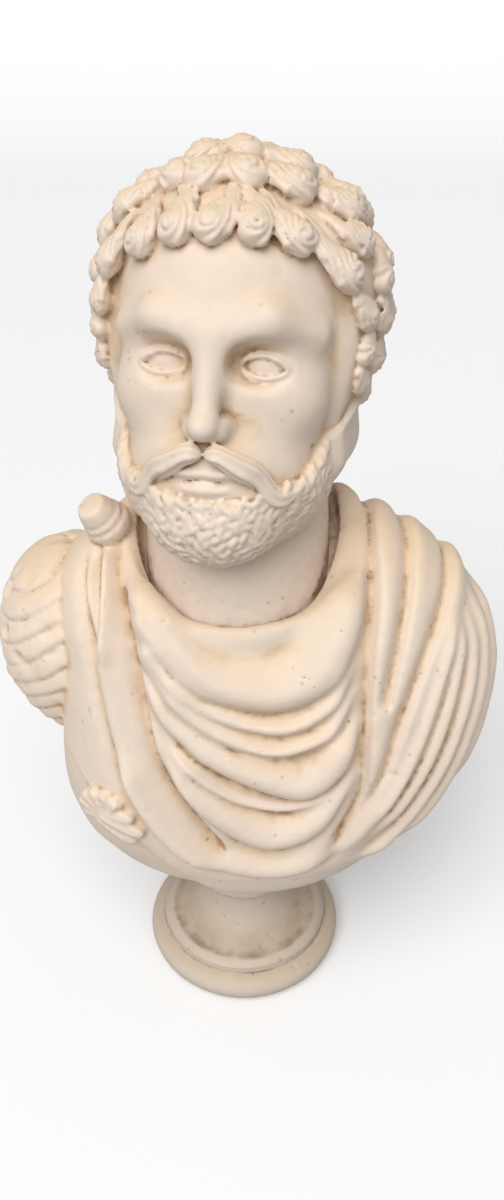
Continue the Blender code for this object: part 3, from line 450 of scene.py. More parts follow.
# Each fold is a crease with a roll of cloth on its left-hand side: knots, the crease's depth and spread, the
# roll's height and width, and over what share of its length it fades in and out. Swags come first, then the
# long falls on either side of them, the fan to the far shoulder, and the back.
FOLDS = [
    ([(-6.4, -8, 31.6), (-2.6, -9, 29.6), (2.8, -9, 29.4), (6.6, -8, 31.6)], 0.0, 0.3, -0.5, 0.9, 0.35),
    ([(-9.2, -5, 35.2), (-8.2, -8.5, 32.6), (-6.4, -10, 29.9), (-2.9, -11.2, 26.8), (2.3, -11.6, 25.5),
      (6.6, -11, 27.0), (9.2, -9, 30.8), (10.1, -5, 35.4)], 0.60, 0.50, 1.20, 1.75, 0.10),
    ([(-8.9, -8, 32.6), (-8.0, -9.3, 30.9), (-5.7, -10.7, 27.6), (-1.6, -11.7, 24.6), (3.4, -12, 23.5),
      (7.3, -11.2, 25.5), (9.5, -9.4, 29.8)], 0.50, 0.42, 0.70, 0.85, 0.10),
    ([(-8.4, -9.4, 30.6), (-7.6, -10, 28.9), (-4.7, -11.3, 25.2), (-0.5, -12.2, 22.5), (3.5, -12.3, 21.6),
      (7.4, -11.6, 23.4), (9.6, -10.2, 27.4)], 0.50, 0.42, 0.65, 0.80, 0.10),
    ([(-8.0, -10, 28.6), (-5.9, -11.5, 23.8), (-2.0, -12.5, 20.2), (2.4, -12.6, 17.9), (5.4, -12.5, 17.5),
      (8.6, -12, 20.0), (9.9, -11, 24.2)], 0.70, 0.44, 0.95, 1.50, 0.10),
    ([(-6.4, -11.6, 22.8), (-2.7, -12.5, 18.8), (0.6, -12.7, 16.6), (4.3, -12.6, 16.1),
      (8.0, -12.2, 18.0)], 0.45, 0.38, 0.35, 0.50, 0.18),
    ([(-6.6, -11.6, 22.6), (-5.2, -12.3, 18.6), (-2.1, -12.6, 14.5), (0.6, -12.6, 12.3), (3.6, -12.4, 11.9),
      (7.0, -12.2, 14.0), (9.6, -11.8, 19.4)], 0.70, 0.46, 1.00, 1.50, 0.12),
    ([(-8.2, -9.4, 29.0), (-6.4, -11.6, 23.4), (-4.6, -12.4, 19.4)], 0.30, 0.34, 0.35, 0.6, 0.3),
    ([(-9.6, -2.8, 36.6), (-9.0, -7.2, 33.4), (-8.2, -9.6, 29.4), (-7.6, -10.9, 24.6), (-6.3, -12, 19.8),
      (-3.8, -12.6, 15.3), (-0.8, -12.4, 11.0)], 1.05, 0.28, 0.60, 0.80, 0.10),
    ([(-11.1, -3.3, 36.0), (-10.9, -6.6, 33.0), (-11.0, -9, 28.0)], 1.05, 0.26, 0.50, 0.65, 0.18),
    ([(-12.4, -2.7, 35.8), (-12.1, -7.1, 31.4), (-11.6, -8.8, 27.7), (-10.8, -10.3, 22.8),
      (-9.1, -11.5, 17.6), (-6.4, -12.1, 12.8), (-2.4, -12.2, 8.6)], 0.95, 0.30, 0.70, 1.0, 0.10),
    ([(-10.8, -10, 21.6), (-9.6, -11, 17.0), (-5.4, -12, 11.0), (0.0, -11.6, 8.4), (5.0, -11.4, 8.4),
      (9.0, -10.8, 11.0)], 0.55, 0.50, 0.95, 1.4, 0.16),
    ([(10.2, 5, 37.4), (10.3, -2.4, 36.8), (9.9, -8.6, 30.5), (10.0, -11.6, 23.0), (9.8, -11.9, 16.5),
      (7.4, -11.5, 10.0)], 0.95, 0.26, 0.25, 1.0, 0.10),
    ([(13.4, 4, 36.4), (13.5, -1, 36.6), (12.5, -6.1, 32.4), (11.7, -9.8, 27.0),
      (11.5, -10.6, 24.6)], 0.75, 0.26, 0.20, 0.9, 0.15),
    ([(17.0, 4, 34.0), (16.8, -2, 34.0), (15.0, -7, 30.0), (13.0, -10.4, 24.0), (11.6, -11.6, 18.6),
      (7.6, -11.5, 9.4)], 0.75, 0.28, 0.35, 1.0, 0.10),
    ([(16.0, -5.4, 31.6), (15.0, -8.6, 26.6), (12.8, -11, 19.4),
      (9.8, -11.6, 13.2)], 0.40, 0.34, 0.60, 0.8, 0.2),
    ([(16.8, -5.2, 31.2), (16.4, -8, 26.6), (14.4, -10.8, 18.6),
      (10.4, -11.2, 11.4)], 0.40, 0.34, 0.60, 0.8, 0.2),
    ([(16.9, -4.0, 32.4), (18.0, -7.0, 26.8), (16.6, -10, 18.8), (12.6, -10.6, 11.4),
      (9.4, -10.6, 8.6)], 0.40, 0.36, 0.65, 0.9, 0.2),
    ([(17.2, -3.0, 33.0), (19.2, -5.8, 27.6), (18.8, -8.4, 21.0), (16.0, -9.4, 13.4),
      (12.0, -9.8, 8.8)], 0.36, 0.36, 0.60, 1.0, 0.2),
    ([(18.0, -1.0, 32.6), (20.4, -3.6, 27.0), (20.4, -6.0, 19.6),
      (17.4, -7.6, 12.2)], 0.36, 0.36, 0.55, 1.0, 0.2),
]
BACK_PLEATS = [
    [(9.5, 6.4, 36.0), (6.5, 9.6, 28.0), (2.0, 10.2, 18.0), (-2.0, 7.6, 7.0)],
    [(14.0, 6.0, 33.0), (11.6, 8.8, 25.0), (7.5, 9.9, 16.0), (3.5, 7.8, 7.5)],
    [(18.0, 4.0, 28.0), (16.0, 7.8, 21.0), (12.0, 8.6, 13.0)],
    [(1.0, 7.4, 36.5), (-2.0, 9.8, 28.0), (-6.5, 10.0, 18.0), (-8.5, 7.6, 9.0)],
    [(-6.0, 7.2, 35.0), (-8.5, 9.2, 27.0), (-11.6, 8.6, 18.0)],
]
FOLDS += [(knots, 0.45, 0.5, 0.6, 1.7, 0.25) for knots in BACK_PLEATS]
UNDERCUT_WIDTH = 0.80
HEM = np.array(
    [(-16.5, 20.5), (-14.9, 18.4), (-12.3, 15.4), (-8.8, 11.0), (-4.2, 6.4), (-1.5, 4.6), (4.0, 1.0)]
)
HEM_STEP = 0.7
CLOAK_SIDE = -15.5
SLEEVE_CENTRE = (-14.5, 0.8, 24.9)
SLEEVE_REACH = (6.9, 7.4, 9.5)
CLASP_PLACE = (-10.8, -2.3, 37.7)


def fold_lift(points, normals, fold, undercut=UNDERCUT_WIDTH):
    """roll * exp(-((s - width) / width)^2) - crease * exp(-(s / spread)^2), where s is the distance from the
    fold's line, positive on its left, and the spread is the fold's own on that side and wide on the other."""
    knots, crease, spread, roll, width, fade = fold
    path = onto(body_form, curve_through(knots, 9 * len(knots)))
    lift = np.zeros(len(points))
    near = np.flatnonzero(np.all((points > path.min(0) - 4) & (points < path.max(0) + 4), axis=1))
    if not len(near):
        return lift
    p, n = points[near], normals[near]
    nearest = ((p**2).sum(1)[:, None] - 2 * p @ path.T + (path**2).sum(1)).argmin(1)
    best = np.full(len(p), np.inf)
    s, share = np.zeros(len(p)), np.zeros(len(p))
    for step in (-1, 0):
        i = np.clip(nearest + step, 0, len(path) - 2)
        along = path[i + 1] - path[i]
        t = np.clip(((p - path[i]) * along).sum(1) / (along**2).sum(1), 0, 1)
        away = p - path[i] - t[:, None] * along
        distance = np.linalg.norm(away, axis=1)
        left = (away * np.cross(n, along)).sum(1) >= 0
        closer = distance < best
        s = np.where(closer, np.where(left, distance, -distance), s)
        share = np.where(closer, (i + t) / (len(path) - 1), share)
        best = np.where(closer, distance, best)
    strength = smooth_step(0, fade, share) * smooth_step(0, fade, 1 - share)
    spread = np.where(s > 0, spread, undercut)
    profile = roll * np.exp(-(((s - width) / width) ** 2)) - crease * np.exp(-((s / spread) ** 2))
    lift[near] = strength * profile
    return lift


def cloak_lift(points, normals):
    """The folds' lifts added up, a step down to the bare cuirass below the hem, and the collar: a low rim,
    and a step down inside it to the neck."""
    lift = np.clip(sum(fold_lift(points, normals, fold) for fold in FOLDS), -1.3, 1.6)
    x, y, z = points.T
    front = smooth_step(4.0, 0.0, y)
    above_hem = smooth_step(-0.2, 0.2, z - np.interp(x, HEM[:, 0], HEM[:, 1]))
    inside_edge = smooth_step(CLOAK_SIDE - 0.2, CLOAK_SIDE + 0.2, x)
    covered = 1.0 - front * (1.0 - above_hem * inside_edge)
    lift = lift * covered - HEM_STEP * (1.0 - covered)
    radius = from_neck(points)[0]
    high = smooth_step(27.0, 29.0, z)
    rim = 0.30 * np.exp(-(((radius - COLLAR_RADIUS - 0.6) / 0.7) ** 2))
    inside_collar = smooth_step(COLLAR_RADIUS, COLLAR_RADIUS - 0.2, radius)
    plain = smooth_step(COLLAR_RADIUS + 1.6, COLLAR_RADIUS, radius)
    return lift * (1 - high * plain) + high * (rim - COLLAR_DEPTH * inside_collar)


def sleeve_shell():
    """An ellipsoid with its lower end cut off, grooved where the sine of a wave down and across it is 0, and
    broken away unevenly towards its outer side."""

    def form(points):
        arm = ellipsoid(points, SLEEVE_CENTRE, SLEEVE_REACH)
        cut = (points - np.array((-18.6, 0.0, 21.4))) @ np.array((-0.7, 0.0, -0.7))
        return hollowed(arm, -cut, 0.4)

    def pleats(points, normals):
        wave = 1.75 * points[:, 2] - 1.10 * (points[:, 0] + 15.5) - 0.25 * points[:, 1]
        wave += 1.6 * mottle(points, 3.5, 3)
        outer = smooth_step(-17.0, -20.0, points[:, 0])
        chipped = (0.25 + 0.45 * outer) * smooth_step(0.50, 0.85, mottle(points, 1.5, 5))
        groove = np.exp(-((np.sin(wave) / 0.24) ** 2)) * (0.3 + 1.1 * mottle(points, 2.6, 9))
        return 0.10 * np.sin(wave + 0.6) ** 2 - 0.42 * groove - chipped

    return cast_shell(form, SLEEVE_CENTRE, 160, 220, 14, pleats)


def clasp_shell():
    """A knob's outline, turned about its leaning axis."""
    outline = np.array(
        [(1.05, 2.15), (1.25, 1.95), (1.52, 1.15), (1.5, 0.95), (1.38, 0.85), (1.7, 0.6), (1.74, 0.35)]
        + [(1.52, 0.2), (1.86, -0.05), (1.92, -0.4), (1.75, -1.0), (1.2, -1.6)]
    )
    lean = Matrix.Rotation(math.radians(24), 3, "X") @ Matrix.Rotation(math.radians(-28), 3, "Y")
    grid = turned(curve_through(outline, 48), 64)
    points, quads, triangles = closed_shell(grid, (0, 0, 2.22), (0, 0, -1.7))
    return points @ np.array(lean).T + np.array(CLASP_PLACE), quads, triangles


# The sash end's folds, across and up from its middle, with the radii at both ends: the scalloped fan first,
# then the tongue that it is drawn through.
SASH_MIDDLE = (-11.4, -10.2, 14.3)
SASH_SCALE = 1.18
SASH_FOLDS = [
    ((0.5, 0.1), (1.15, 1.55), 0.50, 0.66),
    ((0.2, 0.1), (0.15, 1.95), 0.50, 0.66),
    ((0.0, 0.0), (-0.85, 1.85), 0.50, 0.66),
    ((-0.1, 0.0), (-1.70, 1.30), 0.50, 0.64),
    ((-0.1, -0.2), (-2.15, 0.40), 0.50, 0.60),
    ((0.0, -0.4), (-1.85, -0.55), 0.50, 0.55),
    ((0.2, 0.4), (2.30, 0.10), 0.60, 0.55),
    ((0.0, 0.0), (3.00, -1.20), 0.75, 0.62),
    ((-0.2, -0.5), (2.30, -2.20), 0.70, 0.58),
    ((-0.6, -0.7), (0.90, -1.90), 0.50, 0.42),
]


def sash_shells():
    """The sash end: fluted bars laid on the body, out from its middle."""
    middle = onto(body_form, np.array([SASH_MIDDLE]))[0]
    normal = outward(body_form, middle[None])[0]
    across = unit(np.cross((0.0, 0.0, 1.0), normal))
    across = across * np.sign(across[0])
    up = np.cross(normal, across) if np.cross(normal, across)[2] > 0 else np.cross(across, normal)
    for start, end, start_radius, end_radius in SASH_FOLDS:
        ends = SASH_SCALE * np.array((start, end)) @ np.array((across, up)) + middle
        path = onto(body_form, curve_through(ends, 11)) + 0.15 * normal
        radii = np.linspace(start_radius, end_radius, 11) * np.r_[np.ones(9), 0.95, 0.75]
        yield swept_shell(path, np.tile(normal, (11, 1)), radii, flutes=5, depth=0.10, sides=40)


# Hair and beard.

# The locks over the face: angle round the head and height angle of the root, the same of the curled end, in
# degrees, then which way it curls and its size.
FRONT_LOCKS = [
    (-56, 38, -52, 17, 1, 0.95),
    (-46, 46, -34, 26, 1, 1.0),
    (-31, 52, -17, 31, 1, 1.0),
    (4, 53, -1, 32, 1, 1.0),
    (8, 52, 16, 32, 1, 1.0),
    (22, 50, 33, 29, -1, 1.03),
    (39, 41, 52, 16, -1, 1.05),
    (-62, 20, -56, 2, 1, 0.85),
    (-68, 8, -61, -9, -1, 0.80),
    (-68, -6, -64, -21, 1, 0.78),
    (-84, 44, -75, 27, 1, 1.0),
    (-90, 28, -80, 11, -1, 1.0),
    (-92, 12, -81, -4, 1, 0.95),
    (-92, -6, -82, -19, -1, 0.90),
    (-90, -20, -80, -32, 1, 0.80),
    (-66, 56, -66, 39, 1, 1.05),
    (-44, 76, -40, 56, -1, 1.05),
    (-24, 77, -14, 55, 1, 1.10),
    (6, 78, 12, 57, -1, 1.10),
    (22, 69, 42, 52, -1, 1.15),
    (-92, 64, -84, 50, -1, 1.05),
    (58, 56, 73, 41, -1, 1.05),
    (52, 40, 67, 27, -1, 0.95),
    (80, 28, 83, 13, 1, 0.98),
    (58, 14, 64, 0, -1, 0.85),
    (84, 12, 86, -4, -1, 0.92),
    (64, 0, 67, -14, 1, 0.80),
    (86, -8, 86, -20, 1, 0.88),
    (66, -14, 70, -27, -1, 0.76),
    (86, -24, 84, -34, -1, 0.82),
    (-120, 84, -46, 72, 1, 1.12),
    (60, 92, 4, 80, -1, 1.12),
    (110, 84, 66, 65, -1, 1.12),
    (105, 62, 96, 44, 1, 1.05),
]
# The rows behind: height angle, first and last angle round from the face, and how many.
REAR_ROWS = [
    (76, 150, 240, 2),
    (58, 110, 250, 5),
    (38, 104, 256, 7),
    (18, 101, 259, 8),
    (-2, 99, 261, 8),
    (-20, 100, 260, 8),
    (-36, 110, 250, 7),
]
# Strands that each lock's curl gathers in, the width they are gathered from, and how tightly they wind.
STRANDS = 3
GATHERED = 2.7
WINDING = 4.0


def lock_sites():
    """Each lock's root and end angles, its hand and its size: those over the face, then the rows behind."""
    yield from FRONT_LOCKS
    for number, (height, first, last, count) in enumerate(REAR_ROWS):
        for i, angle in enumerate(np.linspace(first, last, count)):
            hand = 1 if (i + number) % 2 else -1
            yield angle + 6 * hand, height + 20, angle, height, hand, 1.0


def on_skull(around, height):
    """The points of the head's surface at these angles, in degrees, from the skull's middle."""
    around, height = np.radians(around), np.radians(height)
    level = np.cos(height)
    rays = np.stack([np.sin(around) * level, -np.cos(around) * level, np.sin(height)], axis=-1)
    return cast_points(head_form, SKULL_CENTRE, rays, 20)


def lock_shells():
    """Each lock: a domed teardrop along a path from its root to past its curl. Its strands are lines of a
    stream that flows down the lock and drains, turning, into the curl's eye: grooves lie where
    2 pi n y / w - n (angle + g ln r) is a whole number of turns, for n strands gathered from a width w."""
    sites = np.array(list(lock_sites()))
    hand, size = sites[:, 4:5], sites[:, 5:6]
    root, middle = on_skull(sites[:, 0], sites[:, 1]), on_skull(sites[:, 2], sites[:, 3])
    normal = outward(head_form, middle)
    down = flush(middle - root, normal)
    beside = np.cross(down, normal) * hand
    chance = np.random.default_rng(3)
    sway = chance.uniform(0.35, 0.75, (len(sites), 1))
    waist = (root + middle) / 2 - size * (sway * beside)
    neck = middle - size * (1.1 * down + 0.55 * beside)
    knots = np.stack([root, waist, neck, middle + 0.15 * size * down, middle + 1.30 * size * down], axis=1)
    count, sides = 60, 56
    path, up = laid_on_head(curve_through(knots, count), 3)
    share = np.linspace(0, 1, count)
    t = np.clip((share - 0.70) / 0.30, 0, 1)
    radii = np.interp(share, (0, 0.10, 0.30, 0.52, 0.68, 0.76), (0.22, 0.48, 0.74, 0.96, 1.26, 1.34))
    radii = np.where(share > 0.70, 1.32 * np.sqrt(1 - 0.985 * t**2), radii)
    lift = np.interp(share, (0, 0.2, 0.6, 1), (0.20, 0.50, 0.62, 0.52))
    for i in range(len(sites)):
        centre = path[i] + (size[i] * lift + side_hair(path[i, :, 0]))[:, None] * up[i]
        points, quads, triangles = swept_shell(centre, up[i], size[i] * radii, flat=0.58, sides=sides)
        eye = middle[i] + size[i] * (0.15 * down[i] + 0.10 * beside[i]) + side_hair(middle[i, 0]) * normal[i]
        away = (points - eye) / size[i]
        x, y, high = away @ down[i], away @ beside[i], away @ normal[i]
        r = np.maximum(np.hypot(x, y), 0.05)
        turns = 2 * math.pi * STRANDS * y / GATHERED - STRANDS * (np.arctan2(y, x) + WINDING * np.log(r))
        fine = smooth_step(-0.9, -1.7, x)
        groove = (0.5 + 0.5 * np.cos(turns)) ** 1.5
        groove += fine * ((0.5 + 0.5 * np.cos(2 * turns)) ** 1.5 - groove)
        groove = groove * smooth_step(0.10, 0.45, r) * smooth_step(-0.1, 0.4, high)
        rise = 0.25 * np.exp(-((r / 0.70) ** 2)) - 0.30 * np.exp(-((r / 0.20) ** 2)) - 0.26 * groove
        axis = np.vstack([np.repeat(centre, sides, axis=0), centre[:1], centre[-1:]])
        outer = unit(points - axis + 0.05 * normal[i])
        yield points + size[i] * rise[:, None] * outer, quads, triangles


def cheek_line(y):
    """The level of the beard's upper edge: it climbs from the mouth's corner towards the ear."""
    return 44.6 + 0.75 * np.maximum(y + 7.5, 0.0)


def in_beard(points):
    """Where the beard grows: under the cheek line and in front of the ear, but not on the lips."""
    x, y, z = np.moveaxis(points, -1, 0)
    mouth = (np.abs(x) < 3.0) & (np.abs(z - 44.9) < 1.25) & (y < -6)
    under = 40.2 - 0.25 * (np.minimum(y, 0.0) + 3.0) ** 2 * (y < -3)
    return (z < cheek_line(y) - 0.2) & (y < 1.2) & (z > under) & ~mouth


def tuft_shells():
    """The beard: short S-shaped bars, their middles on a golden spiral round the jaw."""
    chance = np.random.default_rng(7)
    count = 2600
    level = 1 - 2 * (np.arange(count) + 0.5) / count
    around = np.arange(count) * math.pi * (3 - math.sqrt(5))
    flat = np.sqrt(1 - level**2)
    rays = np.stack([flat * np.cos(around), flat * np.sin(around), level], axis=-1)
    middle = cast_points(head_form, (0.0, -3.0, 45.0), rays, 16)
    middle = middle[in_beard(middle)]
    n = len(middle)
    normal = outward(head_form, middle)
    fall = np.array((0.0, -0.15, -1.0)) + 0.08 * middle * (1, 0, 0) + 0.5 * chance.standard_normal((n, 3))
    fall = flush(fall, normal)
    side = np.cross(fall, normal) * chance.choice((-1.0, 1.0), (n, 1))
    t = np.linspace(-1, 1, 13)[None, :, None]
    long = chance.uniform(0.36, 0.62, (n, 1, 1))
    path = middle[:, None] + long * t * fall[:, None] + 0.20 * np.sin(math.pi * t) * side[:, None]
    path, up = laid_on_head(path, 2)
    share = np.linspace(0, 1, 13)
    path = path + np.interp(share, (0, 0.6, 1), (0.34, 0.50, 0.44))[:, None] * up
    radii = np.interp(share, (0, 0.15, 0.5, 0.8, 1), (0.09, 0.18, 0.25, 0.26, 0.12))
    thick = chance.uniform(0.85, 1.2, n)
    for path_i, up_i, thick_i in zip(path, up, thick):
        yield swept_shell(path_i, up_i, thick_i * radii, sides=12)


# The moustache's lock on the viewer's right, mirrored for the left: its knots, from the nose to its end.
MOUSTACHE = [
    (0.20, -10.65, 46.7), (1.30, -10.75, 46.6), (2.50, -10.35, 46.0), (3.40, -9.80, 45.1),
    (4.10, -9.30, 44.2), (4.90, -8.75, 43.7), (5.80, -8.00, 44.1),
]


def moustache_shells():
    """A fluted bar on each side of the nose, thickest by the nose, waving a little, thinned to its end."""
    share = np.linspace(0, 1, 70)
    for side in (-1, 1):
        path = curve_through(np.array(MOUSTACHE) * np.array((side, 1.0, 1.0)), 70)
        path = path + 0.10 * np.sin(16 * share)[:, None] * np.array((0.0, 0.0, 1.0))
        up = unit(path - np.array((0.0, -1.0, 45.0)))
        radii = np.interp(share, (0, 0.08, 0.25, 0.6, 0.85, 1), (0.32, 0.62, 0.76, 0.72, 0.56, 0.26))
        radii = radii * (1 + 0.07 * np.cos(17 * share))
        yield swept_shell(path, up, radii, flutes=6, depth=0.13, flat=0.85, sides=48)


def neck_shell():
    """A round profile carried up the neck's axis, from the chest into the skull, with a little mottle."""
    path = np.linspace(NECK_FOOT, NECK_HEAD, 90)
    radii = np.linspace(NECK_FOOT_RADIUS, NECK_HEAD_RADIUS, 90)
    points, quads, triangles = swept_shell(path, np.tile((0.0, -1.0, 0.0), (90, 1)), radii, sides=240)
    uneven = 0.10 * (mottle(points, 0.45, 4) - 0.5)[:, None]
    return points + uneven * unit(points * (1, 1, 0)), quads, triangles


def set_on_neck(shells):
    """Shells of the head's frame, with their points moved to the figure's."""
    for points, quads, triangles in shells:
        yield from_head(points), quads, triangles


def head_lift(points, normals):
    """A cap of hair over the skull, behind the hairline and above the nape, and the beard's thickness."""
    x, y, z = points.T
    hairline = 60.6 - 0.30 * np.maximum(np.abs(x) - 4.2, 0.0) ** 1.6
    front = smooth_step(-0.4, 0.4, z - hairline)
    rear = smooth_step(-5.0, -3.4, y) * smooth_step(43.0, 45.0, z)
    bearded = smooth_step(0.3, -0.3, z - cheek_line(y)) * smooth_step(1.6, 0.8, y)
    mouth = np.exp(-((x / 3.0) ** 4) - ((z - 44.8) / 1.25) ** 4)
    return (HAIR_LIFT + side_hair(x)) * np.maximum(front, rear) + 0.55 * bearded * (1 - mouth)


# Fusing a casting and wearing its surface.


def add_object(name, data):
    """A new object of the scene, at the origin."""
    piece = bpy.data.objects.new(name, data)
    bpy.context.scene.collection.objects.link(piece)
    return piece


def fused(name, shells, grain, faces):
    """The shells' skin in one mesh: remeshed at the grain, softened, and thinned to a count of triangles."""
    points, quads, triangles = joined(shells)
    rough = add_object(name + "_rough", mesh_from(name + "_rough", metres(points), quads, triangles))
    skin = rough.modifiers.new("fuse", "REMESH")
    skin.mode = "VOXEL"
    skin.voxel_size = grain
    soften = rough.modifiers.new("soften", "SMOOTH")
    soften.factor = 0.5
    soften.iterations = 1
    bpy.context.view_layer.update()
    drawn = rough.evaluated_get(bpy.context.evaluated_depsgraph_get())
    corners = len(drawn.data.loops)
    thin = rough.modifiers.new("thin", "DECIMATE")
    thin.ratio = min(1.0, faces / (corners / 2))
    thin.use_collapse_triangulate = True
    bpy.context.view_layer.update()
    drawn = rough.evaluated_get(bpy.context.evaluated_depsgraph_get())
    mesh = bpy.data.meshes.new_from_object(drawn)
    mesh.name = name
    bpy.data.objects.remove(rough)
    return mesh


def read(items, key, width=3, kind=np.float32):
    """One property of a mesh's points, normals or edges, a row for each."""
    values = np.empty(len(items) * width, kind)
    items.foreach_get(key, values)
    return values.reshape(-1, width)


def move_points(mesh, points):
    """Puts a mesh's points where these are."""
    mesh.vertices.foreach_set("co", points.astype(np.float32).ravel())
    mesh.update()


def relaxed(values, edges, rounds):
    """Each point's values averaged with its neighbours' mean, that many times."""
    a, b = edges.T
    count = len(values)
    degree = np.bincount(a, minlength=count) + np.bincount(b, minlength=count)
    for _ in range(rounds):
        total = [np.bincount(a, v[b], count) + np.bincount(b, v[a], count) for v in values.T]
        values = 0.5 * values + 0.5 * np.stack(total, axis=-1) / degree[:, None]
    return values


def worn(mesh, pits, seed, relief, dirt_line=None):
    """The casting's wear: a slight unevenness of mottle, and round pits sunk along the normals. Then the
    marks its finish reads: how hollow each point is against its relaxed surroundings, near and wide, as a
    share of the relief, with a line of dirt added where one is given, and how far it faces up."""
    chance = np.random.default_rng(seed)
    points = read(mesh.vertices, "co").astype(float)
    normals = read(mesh.vertex_normals, "vector").astype(float)
    sink = 0.00035 * (mottle(points, 0.006, seed) - 0.5) + 0.0008 * (mottle(points, 0.03, seed + 1) - 0.5)
    for centre in points[chance.integers(0, len(points), pits)]:
        radius = chance.uniform(0.0007, 0.0022)
        distance = np.linalg.norm(points - centre, axis=1)
        sink -= 0.55 * radius * np.exp(-((distance / radius) ** 2))
    points = points + sink[:, None] * normals
    move_points(mesh, points)
    edges = read(mesh.edges, "vertices", 2, np.int32)
    normals = read(mesh.vertex_normals, "vector").astype(float)
    near = ((relaxed(points, edges, 4) - points) * normals).sum(1) / relief
    # The finish darkens the wide mark as painted shade in broad hollows.
    wide = ((relaxed(points, edges, 60) - points) * normals).sum(1) / (5 * relief)
    if dirt_line is not None:
        near = near + dirt_line(points, normals)
    upward = relaxed(normals, edges, 12)[:, 2]
    for name, values in (("near_hollow", near), ("wide_hollow", wide), ("upward", upward)):
        mark = mesh.attributes.new(name, "FLOAT", "POINT")
        mark.data.foreach_set("value", np.clip(values, -1, 1).astype(np.float32))
    mesh.polygons.foreach_set("use_smooth", np.ones(len(mesh.polygons), bool))
    mesh.update()
    return mesh


def cloak_dirt(points, normals):
    """Narrow marks on the cloak: where it meets the neck, and along its sharpest creases."""
    points = in_parts(points)
    radius, _, _, t = from_neck(points)
    clear = radius - NECK_FOOT_RADIUS - t * (NECK_HEAD_RADIUS - NECK_FOOT_RADIUS)
    mark = 1.2 * np.exp(-(((clear - 0.3) / 0.35) ** 2)) * (points[:, 2] > 27)
    sharp = [fold for fold in FOLDS if fold[1] > 0 and fold[2] < 0.33]
    for knots, crease, _, _, _, fade in sharp:
        mark -= crease * fold_lift(points, normals, (knots, crease, 0.14, 0.0, 1.0, fade), 0.18)
    return mark


def neck_dirt(points, normals):
    """A narrow mark on the neck where it goes into the cloak."""
    points = in_parts(points)
    clear = np.maximum(body_form(points), 0.0)
    return (points[:, 2] < 39) * 1.1 * np.exp(-((clear / 0.25) ** 2))


def placed(mesh, material, node):
    """The mesh as a piece that rides the root with its material, in place of the solid that it hides."""
    piece = add_object(mesh.name, mesh)
    mesh.materials.clear()
    mesh.materials.append(material)
    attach(piece, "root")
    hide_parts(node)
    return piece


# The socle.


def roll(centre, level, radius, first, last, count):
    """An arc of the outline: centre + radius * cos(a), level + radius * sin(a), for a in degrees."""
    a = np.radians(np.linspace(first, last, count))
    return np.stack([centre + radius * np.cos(a), level + radius * np.sin(a)], axis=-1)


def socle_mesh():
    """The socle's outline turned about the upright axis, in steps of its length. Its throat flares from the
    waist to the fillet by 1 - sqrt(1 - t^2.6), for t from 0 to 1 down it."""
    foot_top = 2 * FOOT_ROLL_RADIUS
    fillet_top = foot_top + FILLET_STEP
    foot_centre = FOOT_RADIUS - FOOT_ROLL_RADIUS
    throat_top = RING_LEVEL - RING_ROLL_RADIUS
    ring_top = RING_LEVEL + RING_ROLL_RADIUS
    hub, edge = 0.002, 0.0005
    t = np.linspace(0, 1, 40)
    flare = WAIST_RADIUS + (FILLET_RADIUS - WAIST_RADIUS) * (1 - np.sqrt(1 - t**2.6))
    outline = np.vstack(
        [
            np.linspace((hub, SOCLE_HEIGHT), (DRUM_RADIUS, SOCLE_HEIGHT), 8),
            np.linspace((DRUM_RADIUS, SOCLE_HEIGHT - edge), (DRUM_RADIUS, ring_top + edge), 8),
            roll(RING_RADIUS - RING_ROLL_RADIUS, RING_LEVEL, RING_ROLL_RADIUS, 80, -80, 20),
            np.stack([flare, throat_top + (fillet_top - throat_top) * t], axis=-1),
            np.linspace((FILLET_RADIUS, fillet_top - edge), (FILLET_RADIUS, foot_top + 0.0003), 8),
            roll(foot_centre, FOOT_ROLL_RADIUS, FOOT_ROLL_RADIUS, 84, -90, 34),
            np.linspace((foot_centre - 0.0015, 0.0), (hub, 0.0), 8),
        ]
    )
    shell = closed_shell(turned(outline, 300), (0, 0, SOCLE_HEIGHT), (0, 0, 0))
    return mesh_from("socle_stone", *shell)


def settled(mesh, pits, seed):
    """The worn mesh with its flat underside and seat kept flat."""
    before = read(mesh.vertices, "co")
    worn(mesh, pits, seed, 0.0005)
    after = read(mesh.vertices, "co")
    flat = (before[:, 2] < 0.0004) | (before[:, 2] > SOCLE_HEIGHT - 0.0004)
    after[flat] = before[flat]
    after[:, 2] = np.clip(after[:, 2], 0.0, SOCLE_HEIGHT)
    move_points(mesh, after)
    return mesh


# The stone's finish.


